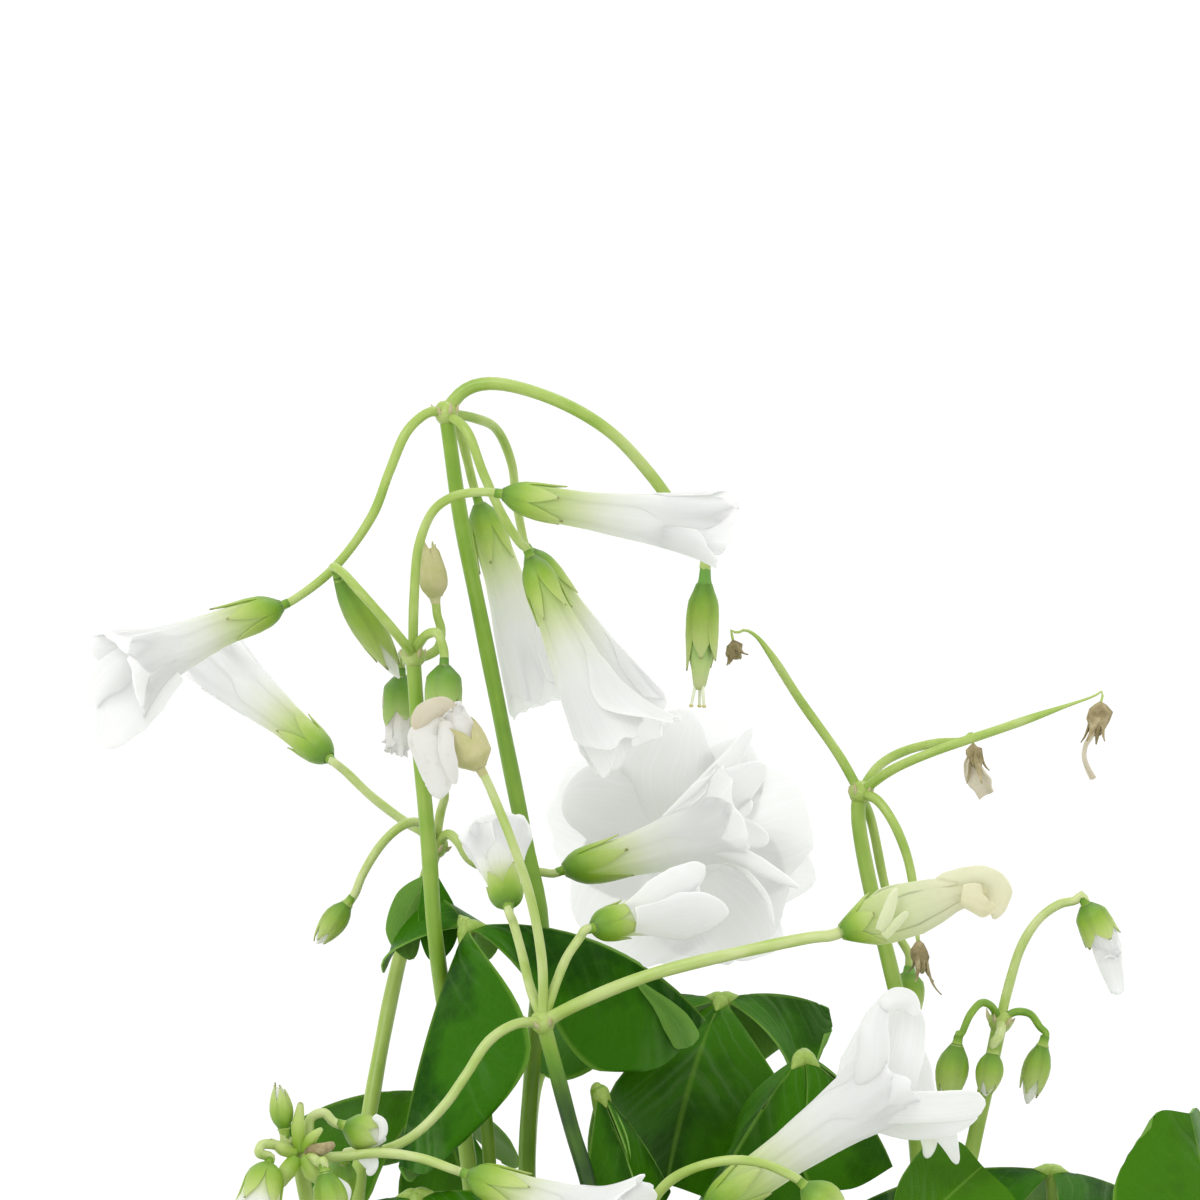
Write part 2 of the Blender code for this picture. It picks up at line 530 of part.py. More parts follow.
def grown_leaf(k, count, seed):
    """Leaf k of count in the rest of the canopy: at the golden angle, from the middle
    out, under a dome. seed picks its own height, turn, reach and size."""
    rng = random.Random(1000 * k + seed)
    az = math.radians(137.508 * (k + 3) + rng.uniform(-40, 40))
    share = min(1.0, (k + 1.6) / count)
    r = (17 + 52 * share ** 0.7 + rng.uniform(-9, 9)) * MM
    hub_z = 0.1500 - 0.036 * (r / 0.075) ** 2 + rng.uniform(-0.020, 0.008)
    hub = Vector((r * math.cos(az) + 0.004, r * math.sin(az), hub_z))
    fr = (8 + 22 * share + rng.uniform(-6, 6)) * MM
    fa = az + rng.uniform(-0.8, 0.8)
    base = Vector((fr * math.cos(fa), fr * math.sin(fa), SOIL_Z + GAP))
    out = Vector((math.cos(az), math.sin(az), 0))
    rise = hub_z - base.z
    route = [base, base + Vector((0, 0, rise * 0.22)) + (hub - base) * 0.05,
             base + (hub - base) * 0.42 + Vector((0, 0, rise * 0.16)),
             base + (hub - base) * 0.74 + Vector((0, 0, rise * 0.12)), hub]
    yaw = az + rng.uniform(-1.05, 1.05)
    tilt = math.radians(12 + 26 * (r / 0.085) + rng.uniform(-8, 8))
    up = (Vector((0, 0, math.cos(tilt))) + out * math.sin(tilt)).normalized()
    size = rng.uniform(0.84, 1.06)
    leaflets = []
    for j in range(3):
        a = yaw + j * 2 * math.pi / 3 + rng.uniform(-0.12, 0.12)
        flat = Vector((math.cos(a), math.sin(a), 0))
        d = (flat - up * flat.dot(up)).normalized() + up * rng.uniform(-0.22, 0.10)
        leaflets.append(lf(d, up, rng.uniform(25, 29), rng.uniform(14.5, 17), rng.uniform(-30, -10),
                           rng.uniform(22, 44), rng.uniform(-6, 6), rng.uniform(-22, -8)))
    return route, leaflets, size


def has_room(route, parts, feet, trees):
    """True where a leaf clears the other pieces, stays off the pot's rim, within the
    plant's width, and below the leaves of the front elevation."""
    here = Vector((route[0].x, route[0].y))
    if min((here - Vector((f.x, f.y))).length for f in feet) < 0.0036:
        return False
    if min(p.z for vs, _ in parts[1:] for p in vs) < POT_H + 0.002:
        return False
    for vs, _ in parts:
        for p in vs:
            px, py = drawn(p)
            if py < (1212 if px < 770 else 1186) or abs(p.x) > 0.104 or abs(p.y) > 0.100:
                return False
    tree = tree_of(parts)
    return None if any(tree.overlap(t) for t in trees) else tree


def tree_of(meshes):
    verts, faces = [], []
    for vs, fs in meshes:
        k = len(verts)
        verts += vs
        faces += [tuple(i + k for i in f) for f in fs]
    return BVHTree.FromPolygons(verts, faces)


def grown_leaves(count, first, feet, hubs, trees):
    """count leaves by the rule, each at the first few places with room for it, and of
    those the one farthest from its neighbours."""
    leaves, k = [], 0
    while len(leaves) < count and k < CANOPY + 12:
        best, fits = None, 0
        for seed in range(600):
            route, leaflets, size = grown_leaf(k, CANOPY, seed)
            leaf = leaf_spec(f"leaf_{first + len(leaves):02d}", route, leaflets, size)
            tree = has_room(route, leaf_parts(leaf, 0.00032), feet, trees)
            if not tree:
                continue
            score = min((route[-1] - h).length for h in hubs) + route[-1].z * 0.15
            if best is None or score > best[0]:
                best = (score, leaf, tree)
            fits += 1
            if fits == 14:
                break
        if best:
            leaves.append(best[1])
            trees.append(best[2])
            feet.append(best[1]["route"][0])
            hubs.append(best[1]["route"][-1])
        k += 1
    return leaves


# --------------------------------------------------------- Blender objects
def material(name, colour, rough, metallic=0.0):
    m = bpy.data.materials.get(name)
    if m is None:
        m = bpy.data.materials.new(name)
        m.use_nodes = True
        b = m.node_tree.nodes["Principled BSDF"]
        b.inputs["Base Color"].default_value = (*colour, 1)
        b.inputs["Roughness"].default_value = rough
        b.inputs["Metallic"].default_value = metallic
    return m


def make(name, verts, faces, mat):
    mesh = bpy.data.meshes.new(name)
    mesh.from_pydata([tuple(v) for v in verts], [], faces)
    bm = bmesh.new()
    bm.from_mesh(mesh)
    bmesh.ops.recalc_face_normals(bm, faces=bm.faces)
    bmesh.ops.triangulate(bm, faces=bm.faces)
    bm.to_mesh(mesh)
    bm.free()
    mesh.materials.append(mat)
    mesh.shade_smooth()
    mesh.set_sharp_from_angle(angle=math.radians(40))
    obj = bpy.data.objects.new(name, mesh)
    bpy.context.scene.collection.objects.link(obj)
    return obj


def knob(name, centre, r, mat, divisions=1):
    bm = bmesh.new()
    bmesh.ops.create_icosphere(bm, subdivisions=divisions, radius=r)
    turn = Matrix.Rotation(0.37, 4, "X") @ Matrix.Rotation(0.61, 4, "Z")
    bmesh.ops.transform(bm, matrix=Matrix.Translation(centre) @ turn, verts=bm.verts)
    mesh = bpy.data.meshes.new(name)
    bm.to_mesh(mesh)
    bm.free()
    mesh.materials.append(mat)
    obj = bpy.data.objects.new(name, mesh)
    bpy.context.scene.collection.objects.link(obj)
    return obj


def whole(mesh):
    """True for one closed body."""
    bm = bmesh.new()
    bm.from_mesh(mesh)
    bm.verts.ensure_lookup_table()
    closed = len(bm.faces) > 8 and all(len(e.link_faces) == 2 for e in bm.edges)
    reached, todo = set(), [bm.verts[0]] if closed else []
    while todo:
        v = todo.pop()
        if v.index in reached:
            continue
        reached.add(v.index)
        todo += [e.other_vert(v) for e in v.link_edges]
    one = closed and len(reached) == len(bm.verts)
    bm.free()
    return one


def united(name, base, others, operation="UNION"):
    for o in others:
        m = base.modifiers.new("join", "BOOLEAN")
        m.operation = operation
        m.solver = "EXACT"
        m.object = o
    bpy.context.view_layer.update()
    graph = bpy.context.evaluated_depsgraph_get()
    mesh = bpy.data.meshes.new_from_object(base.evaluated_get(graph))
    base.modifiers.clear()
    base.data = mesh
    base.name = name
    mesh.name = name
    for o in others:
        bpy.data.objects.remove(o)
    return base


def settle(obj, origin, parent):
    """Put an object's own origin where it grows from, under the plant."""
    obj.data.transform(Matrix.Translation(-origin))
    obj.parent = parent
    obj.location = origin - parent.location
    return obj


def pot(mat):
    """A turned pot with a rim band and four drain holes."""
    zr = POT_H - RIM_H
    outer = [(0.0, 0.0), (POT_R_BASE - 0.0016, 0.0), (POT_R_BASE, 0.0016), (POT_R_TOP, zr - 0.0008),
             (RIM_R - 0.0008, zr), (RIM_R, zr + 0.001), (RIM_R + 0.0008, POT_H - 0.0018),
             (RIM_R - 0.0008, POT_H), (RIM_R - WALL, POT_H), (RIM_R - WALL - 0.0012, POT_H - 0.0016),
             (POT_R_TOP - WALL, zr - 0.004), (POT_R_BASE - WALL + 0.001, FLOOR + 0.0015),
             (POT_R_BASE - WALL - 0.001, FLOOR), (0.0, FLOOR)]
    sides = 36
    verts, faces = [Vector((0, 0, 0))], []
    for r, z in outer[1:-1]:
        verts += [Vector((r * math.cos(2 * math.pi * k / sides), r * math.sin(2 * math.pi * k / sides), z))
                  for k in range(sides)]
    verts.append(Vector((0, 0, FLOOR)))
    last = len(verts) - 1
    faces += [(0, 1 + (k + 1) % sides, 1 + k) for k in range(sides)]
    rings = len(outer) - 2
    for i in range(rings - 1):
        faces += bridge(1 + i * sides, 1 + (i + 1) * sides, sides)
    top = 1 + (rings - 1) * sides
    faces += [(last, top + k, top + (k + 1) % sides) for k in range(sides)]
    body = make("pot", verts, faces, mat)
    drills = []
    for k in range(4):
        a = math.radians(45 + 90 * k)
        c = Vector((DRAIN_AT * math.cos(a), DRAIN_AT * math.sin(a), 0))
        path = [c + Vector((0, 0, -0.004)), c + Vector((0, 0, FLOOR + 0.004))]
        drills.append(make(f"drill_{k}", *tube(path, [DRAIN_R, DRAIN_R], 12), mat))
    return united("pot", body, drills, "DIFFERENCE")


def wall_inside(z):
    """Inner radius of the pot's wall at height z."""
    z0, r0 = FLOOR + 0.0015, POT_R_BASE - WALL + 0.001
    z1, r1 = POT_H - RIM_H - 0.004, POT_R_TOP - WALL
    z2, r2 = POT_H - 0.0016, RIM_R - WALL - 0.0012
    if z < z1:
        return r0 + (r1 - r0) * (z - z0) / (z1 - z0)
    return r1 + (r2 - r1) * (z - z1) / (z2 - z1)


def soil(mat):
    """The potting soil, a little inside the pot's wall all round."""
    sides = 36
    inside = math.cos(math.pi / sides)
    rows = [(wall_inside(FLOOR + 0.0015) - 0.0026, FLOOR + GAP),
            (wall_inside(FLOOR + 0.0022) - 0.0006, FLOOR + 0.0022),
            (wall_inside(POT_H - RIM_H - 0.004) - 0.0006, POT_H - RIM_H - 0.004),
            (wall_inside(SOIL_Z) - 0.0007, SOIL_Z)]
    verts, faces = [], []
    for r, z in rows:
        verts += [Vector((r * math.cos(2 * math.pi * k / sides), r * math.sin(2 * math.pi * k / sides), z))
                  for k in range(sides)]
    for i in range(len(rows) - 1):
        faces += bridge(i * sides, (i + 1) * sides, sides)
    faces.append(tuple(range(sides))[::-1])
    faces.append(tuple((len(rows) - 1) * sides + k for k in range(sides)))
    return make("potting_soil", verts, faces, mat)


def main():
    for o in list(bpy.data.objects):
        bpy.data.objects.remove(o)
    clay = material("terracotta", (0.62, 0.30, 0.19), 0.85)
    earth = material("soil", (0.06, 0.042, 0.03), 0.95)
    green = material("leaf_green", (0.05, 0.20, 0.03), 0.35)
    stem = material("stem_green", (0.35, 0.55, 0.12), 0.45)
    petal = material("petal_white", (0.88, 0.89, 0.87), 0.5)
    straw = material("straw", (0.62, 0.55, 0.38), 0.8)
    sepal = material("sepal_green", (0.30, 0.50, 0.12), 0.5)

    pot(clay)
    soil(earth)

    plant = bpy.data.objects.new("plant", None)
    bpy.context.scene.collection.objects.link(plant)
    plant.location = (0, 0, SOIL_Z)

    # flower stems, each with its pedicels and its smallest heads in one body
    tones = {"open": petal, "spent": straw, "faded": straw, "pod": sepal, "bud": sepal}
    for letter, umbel in umbels().items():
        low = umbel["stem"][0]
        path = smooth([low, low + Vector((0, 0, 0.006))] + umbel["stem"][1:], 14)
        hub = path[-1]
        body = make("axis", *tube(path, taper(14, STALK_R * 1.2, STALK_R * 0.92), 6), stem)
        others = [knob("hub", hub, 0.0014, stem)]
        for name, pts in umbel["rays"].items():
            thick = PEDICEL_R * (1.32 if name in ("seed_pod_a5", "faded_flower_c4") else 1.0)
            n = max(5, min(10, 3 + len(pts)))
            route = [hub] + [at(*p) for p in pts[1:]]
            facing = (at(*HEADS[name][1]) - route[-1]).normalized()
            ray = smooth(route[:-1] + [route[-1] - facing * 0.0011, route[-1]], n)
            base = ray[-1]
            if name in JOINED:
                # the head starts just inside the end of its pedicel
                inside = base - (base - ray[-2]).normalized() * 0.0004
                others.append(make("head", *head_mesh(name, inside), stem))
            else:
                head = make(name, *head_mesh(name, base), tones[HEADS[name][0]])
                settle(head, base, plant)
                ray = trimmed(ray, GAP + 0.0001)
            others.append(make("ray", *tube(ray, taper(len(ray), thick * 1.15, thick), 5), stem))
        settle(united("flower_stem_" + letter.lower(), body, others), low, plant)

    # leaves: those that the front elevation places, then the rest of the canopy
    def grow(leaf):
        parts = leaf_parts(leaf)
        for swell in (1.0, 1.07, 1.15, 0.95, 1.25):
            body = make("stalk", *parts[0], green)
            others = [knob("knob", leaf["route"][-1], 0.00105 * swell, green)]
            others += [make("leaflet", *p, green) for p in parts[1:]]
            united(leaf["name"], body, others)
            if whole(body.data):
                return settle(body, leaf["route"][0], plant)
            bpy.data.objects.remove(body)

    placed = front_leaves()
    for leaf in placed:
        grow(leaf)
    bpy.context.view_layer.update()
    feet, trees = [leaf["route"][0] for leaf in placed], []
    for obj in bpy.data.objects:
        if obj.type == "MESH" and obj.name != "potting_soil":
            mesh = obj.data
            trees.append(tree_of([([obj.matrix_world @ v.co for v in mesh.vertices],
                                   [tuple(f.vertices) for f in mesh.polygons])]))
            if obj.name.startswith("flower_stem"):
                feet.append(obj.matrix_world.translation.copy())
    hubs = [leaf["route"][-1] for leaf in placed]
    for leaf in grown_leaves(CANOPY, len(placed) + 1, feet, hubs, trees):
        grow(leaf)


main()
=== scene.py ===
"""The looks of the potted shamrock: every stem, leaf, flower, bud and dry head is
rebuilt here as a thin, curved piece along the same routes as the CAD solids.

Metres, +Z up, the origin at the centre of the pot's base.
"""
import math
import random

import bmesh
import bpy
import numpy as np
from mathutils import Matrix, Vector, noise


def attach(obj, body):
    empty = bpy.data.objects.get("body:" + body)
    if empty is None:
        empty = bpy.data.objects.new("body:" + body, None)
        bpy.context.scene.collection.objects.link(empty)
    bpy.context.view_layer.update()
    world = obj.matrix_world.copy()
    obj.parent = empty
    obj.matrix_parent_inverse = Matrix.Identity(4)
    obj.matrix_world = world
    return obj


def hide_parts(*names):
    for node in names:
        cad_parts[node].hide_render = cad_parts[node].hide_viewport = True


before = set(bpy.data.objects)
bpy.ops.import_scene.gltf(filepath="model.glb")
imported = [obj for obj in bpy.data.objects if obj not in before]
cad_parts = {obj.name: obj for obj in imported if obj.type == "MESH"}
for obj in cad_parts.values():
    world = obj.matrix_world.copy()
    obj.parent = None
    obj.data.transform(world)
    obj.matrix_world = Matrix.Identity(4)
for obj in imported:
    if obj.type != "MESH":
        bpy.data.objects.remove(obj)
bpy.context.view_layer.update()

# ---------------------------------------------------------------- dimensions
MM = 0.001
POT_H = 0.088
POT_R_BASE = 0.037
POT_R_TOP = 0.0495
RIM_R = 0.0535
RIM_H = 0.017
WALL = 0.0034
FLOOR = 0.0046
DRAIN_R = 0.0048
DRAIN_AT = 0.0205
SOIL_Z = 0.0775
GAP = 0.0003
STALK_R = 0.00082
PEDICEL_R = 0.00046
PETIOLE_R = 0.00078
EYE_D = 0.55
EYE_X = -0.006
EYE_Z = 0.223
UNIT = 0.0001
CANOPY = 17


def at(px, py, mm=0.0):
    k = (EYE_D + mm * MM) / EYE_D
    return Vector((EYE_X + (px - 600) * UNIT * k, mm * MM, EYE_Z - (py - 600) * UNIT * k))


def drawn(p):
    """The front elevation's (px, py) of a point."""
    k = (EYE_D + p.y) / EYE_D
    return 600 + (p.x - EYE_X) / (UNIT * k), 600 - (p.z - EYE_Z) / (UNIT * k)


def foot(x_mm, y_mm):
    """Where a stalk meets the soil."""
    return Vector((x_mm * MM, y_mm * MM, SOIL_Z + GAP))


# ------------------------------------------------------------------- routes
def smooth(points, n):
    """n points, evenly spaced, on a centripetal Catmull-Rom curve."""
    pts = [Vector(p) for p in points]
    pts = [pts[0] * 2 - pts[1]] + pts + [pts[-1] * 2 - pts[-2]]
    dense = []
    for i in range(1, len(pts) - 2):
        p0, p1, p2, p3 = pts[i - 1:i + 3]
        t0 = 0.0
        t1 = t0 + max((p1 - p0).length, 1e-9) ** 0.5
        t2 = t1 + max((p2 - p1).length, 1e-9) ** 0.5
        t3 = t2 + max((p3 - p2).length, 1e-9) ** 0.5
        for j in range(24):
            t = t1 + (t2 - t1) * j / 24
            a1 = p0 * ((t1 - t) / (t1 - t0)) + p1 * ((t - t0) / (t1 - t0))
            a2 = p1 * ((t2 - t) / (t2 - t1)) + p2 * ((t - t1) / (t2 - t1))
            a3 = p2 * ((t3 - t) / (t3 - t2)) + p3 * ((t - t2) / (t3 - t2))
            b1 = a1 * ((t2 - t) / (t2 - t0)) + a2 * ((t - t0) / (t2 - t0))
            b2 = a2 * ((t3 - t) / (t3 - t1)) + a3 * ((t - t1) / (t3 - t1))
            dense.append(b1 * ((t2 - t) / (t2 - t1)) + b2 * ((t - t1) / (t2 - t1)))
    dense.append(pts[-2].copy())
    run = [0.0]
    for a, b in zip(dense, dense[1:]):
        run.append(run[-1] + (b - a).length)
    out, k = [], 0
    for i in range(n):
        want = run[-1] * i / (n - 1)
        while k < len(run) - 2 and run[k + 1] < want:
            k += 1
        f = (want - run[k]) / max(run[k + 1] - run[k], 1e-12)
        out.append(dense[k].lerp(dense[k + 1], min(max(f, 0), 1)))
    return out


def frames(path):
    """A tangent and two normals at each point, turned as little as possible."""
    tans = []
    for i in range(len(path)):
        a, b = path[max(i - 1, 0)], path[min(i + 1, len(path) - 1)]
        tans.append((b - a).normalized())
    side = tans[0].orthogonal().normalized()
    out = []
    for t in tans:
        side = (side - t * side.dot(t)).normalized()
        out.append((t, side, t.cross(side).normalized()))
    return out


def tube(path, radii, sides):
    """(verts, faces) of a closed tube along path."""
    verts, faces = [], []
    for p, r, (_, u, v) in zip(path, radii, frames(path)):
        for k in range(sides):
            a = 2 * math.pi * k / sides
            verts.append(p + u * (r * math.cos(a)) + v * (r * math.sin(a)))
    n = len(path)
    for i in range(n - 1):
        for k in range(sides):
            k2 = (k + 1) % sides
            faces.append((i * sides + k, i * sides + k2, (i + 1) * sides + k2, (i + 1) * sides + k))
    faces.append(tuple(range(sides))[::-1])
    faces.append(tuple((n - 1) * sides + k for k in range(sides)))
    return verts, faces


def taper(n, r0, r1):
    return [r0 + (r1 - r0) * i / (n - 1) for i in range(n)]


def trimmed(path, cut):
    """The path with its last stretch of length cut taken off."""
    path = list(path)
    while cut > 0 and len(path) > 2:
        d = (path[-1] - path[-2]).length
        if d > cut:
            path[-1] = path[-1] + (path[-2] - path[-1]).normalized() * cut
            break
        path.pop()
        cut -= d
    return path


# ------------------------------------------------------------------ leaflets
def half_width(u, peak=0.80, end=0.78):
    """Half the leaflet's width at u along it, as a share of the widest."""
    if u < peak:
        return 0.045 + 0.955 * math.sin(0.5 * math.pi * (u / peak) ** 0.92) ** 1.12
    return 1.0 - (1.0 - end) * ((u - peak) / (1.0 - peak)) ** 2


def reach(v):
    """The leaflet's length at v across it: a shallow notch, then rounded corners."""
    v = abs(v)
    return 0.925 + 0.085 * v ** 1.3 - 0.14 * v ** 5


def leaflet_point(lf, u, v):
    """A point of the leaflet's middle surface and the normal there.

    lf holds base, out (first direction), up (normal at the base), length, width
    (half), fold (degrees that each half lifts, negative to hang), droop (degrees
    that the midrib bends away from up), sweep (degrees it bends sideways), cup
    (degrees that a half curves), far (the +v half's share of the width), peak
    (where it is widest) and end (the share of that width at its far end).
    """
    d = lf["out"].normalized()
    n = lf["up"] - d * lf["up"].dot(d)
    n.normalize()
    s = d.cross(n).normalized()
    length = lf["length"] * reach(v)
    droop, sweep = math.radians(lf["droop"]), math.radians(lf.get("sweep", 0))
    q = u * length / lf["length"]
    a = droop * q
    if abs(droop) > 1e-4:
        k = lf["length"] / droop
        along, down = k * math.sin(a), k * (1 - math.cos(a))
    else:
        along, down = lf["length"] * q, 0.0
    mid = lf["base"] + d * along - n * down
    mid += s * (lf["length"] * 0.5 * q * q * math.sin(sweep))
    dn = n * math.cos(a) + d * math.sin(a)          # the normal, tipped with the midrib
    w = v * lf["width"] * half_width(u, lf["peak"], lf["end"]) * (lf["far"] if v > 0 else 1.0)
    f = math.radians(lf["fold"]) * min(1.0, 0.35 + 1.3 * q)
    c = math.radians(lf.get("cup", -18)) * abs(v)
    ang = f + c * 0.5
    p = mid + s * (w * math.cos(ang)) + dn * (abs(w) * math.sin(ang))
    g = f + c
    nn = dn * math.cos(g) - s * (math.copysign(1, v) if v else 0) * math.sin(g)
    return p, nn.normalized()

def leaf_spec(name, route, leaflets, size=1.0):
    """A leaf from the route of its stalk (foot first) and its three leaflets."""
    route = [route[0], route[0] + Vector((0, 0, 0.006))] + list(route[1:])
    hub = route[-1]
    out = []
    for spec in leaflets:
        d = Vector(spec["out"]).normalized()
        out.append({**spec, "out": d, "up": Vector(spec["up"]).normalized(),
                    "base": hub + d * 0.0004, "length": spec["length"] * MM * size,
                    "width": spec["width"] * MM * size})
    return {"name": name, "route": route, "leaflets": out}


# ------------------------------------------------------- the leaves in front
def lf(out, up, length, width, fold, droop, sweep=0, cup=-18, far=1.0, peak=0.80, end=0.78):
    return {"out": out, "up": up, "length": length, "width": width, "fold": fold, "droop": droop,
            "sweep": sweep, "cup": cup, "far": far, "peak": peak, "end": end}


def front_leaves():
    leaves = []

    def add(name, pts, leaflets, size=1.0):
        leaves.append(leaf_spec(name, [Vector(p) for p in pts], leaflets, size))

    add("leaf_01", [foot(-9, -3), at(522, 1600, 0), at(494, 1250, 1.5), at(488, 1140, 1.0),
                    at(477, 1045, 0), at(467, 985, -1), at(467, 928, -1.5)], [
        lf((1, -0.18, 0.15), (0.12, -0.1, 1), 28.5, 11.6, -60, 64, 0, -8),
        lf((-0.36, -0.46, -0.82), (-0.93, -0.10, 0.36), 28, 13, -42, 16, 0, -8, 0.6, 0.6, 0.34),
        lf((-0.42, 0.72, 0.62), (-0.2, 0.2, 1), 13.5, 9.5, -44, 52, 0, -14, 1.0, 0.62, 0.42)])
    add("leaf_02", [foot(7, 9), at(720, 1600, 12), at(735, 1250, 13), at(733, 1100, 12.5),
                    at(727, 1040, 12), at(722, 1000, 11)], [
        lf((-0.85, 0.42, 0.12), (0, 0, 1), 22, 11.5, -30, 30),
        lf((-0.24, -0.60, -0.40), (-0.1, -0.55, 0.9), 24, 14, -30, 46, 0, -12),
        lf((0.80, 0.45, 0.16), (0.1, -0.1, 1), 14.0, 11, -54, 36, 0, -8, 1.0, 0.60, 0.30)])
    add("leaf_03", [foot(12, -8), at(770, 1600, -7), at(800, 1250, -5), at(806, 1120, -4.5),
                    at(803, 1056, -5)], [
        lf((-0.50, -0.42, -0.55), (-0.3, -0.7, 0.6), 20, 9.5, -46, 26),
        lf((0.62, -0.12, -0.42), (0.5, -0.3, 0.8), 15, 8.5, -46, 40),
        lf((0.25, 0.90, -0.10), (0, 0, 1), 14, 8, -40, 50)])
    add("leaf_04", [foot(2, -13), at(668, 1650, -12), at(640, 1400, -10), at(622, 1250, -9.5),
                    at(604, 1140, -9.5), at(598, 1090, -10)], [
        lf((0.40, -0.22, -0.90), (0.75, -0.35, 0.45), 17, 5.0, -62, 8, 0, -6),
        lf((0.30, 0.45, -0.80), (0.2, 0.8, 0.6), 15, 4.6, -60, 10, 0, -6),
        lf((0.62, 0.35, -0.66), (0.6, 0.3, 0.8), 14, 4.6, -60, 20, 0, -6)])
    add("leaf_05", [foot(22, 8), at(950, 1600, 12), at(1030, 1350, 16), at(1052, 1230, 17),
                    at(1052, 1172, 16)], [
        lf((-0.96, -0.16, 0.16), (0, -0.25, 1), 22, 13, -42, 42),
        lf((0.72, -0.55, 0.02), (0.1, 0, 1), 20, 12, -30, 48),
        lf((0.20, 0.95, 0.02), (0, 0, 1), 20, 12, -24, 40)])
    add("leaf_06", [foot(27, -9), at(1060, 1750, -10), at(1195, 1500, -10), at(1219, 1390, -9),
                    at(1223, 1322, -8)], [
        lf((-0.07, 0.10, 1.0), (0.80, -0.60, 0.12), 22, 12, -14, 12, 0, -10, 1.0, 0.60, 0.45),
        lf((0.72, -0.60, -0.05), (0, 0, 1), 19, 12, -28, 40),
        lf((0.10, 0.80, -0.30), (0, 0, 1), 19, 11, -28, 40)])
    add("leaf_07", [foot(-19, 15), at(455, 1600, 18), at(444, 1250, 18), at(440, 1150, 18),
                    at(436, 1094, 18)], [
        lf((-0.97, -0.08, 0.14), (0, -0.2, 1), 18, 11.5, -50, 50),
        lf((0.26, -0.22, -0.75), (0.3, -0.8, 0.3), 16, 8, -40, 10),
        lf((0.10, 0.96, 0.02), (0, 0, 1), 16, 10, -30, 40)])
    add("leaf_08", [foot(16, -17), at(830, 1600, -20), at(884, 1380, -20), at(894, 1290, -19),
                    at(894, 1252, -19)], [
        lf((-0.86, -0.10, 0.24), (0.1, -0.6, 0.8), 13, 8.5, -34, 34),
        lf((0.60, -0.10, 0.66), (-0.2, -0.9, 0.4), 12.5, 8.0, -20, 20),
        lf((0.25, -0.85, -0.15), (0, 0, 1), 19, 12, -34, 44)])
    add("leaf_09", [foot(-16, -12), at(470, 1600, -13), at(428, 1320, -12), at(420, 1240, -12),
                    at(416, 1196, -12)], [
        lf((0.90, -0.30, 0.20), (0, -0.3, 1), 14, 9, -38, 34),
        lf((-0.85, -0.10, -0.05), (0, 0, 1), 19, 12, -38, 44),
        lf((0.10, -0.80, -0.45), (0, -0.3, 1), 20, 12, -38, 34)])
    return leaves


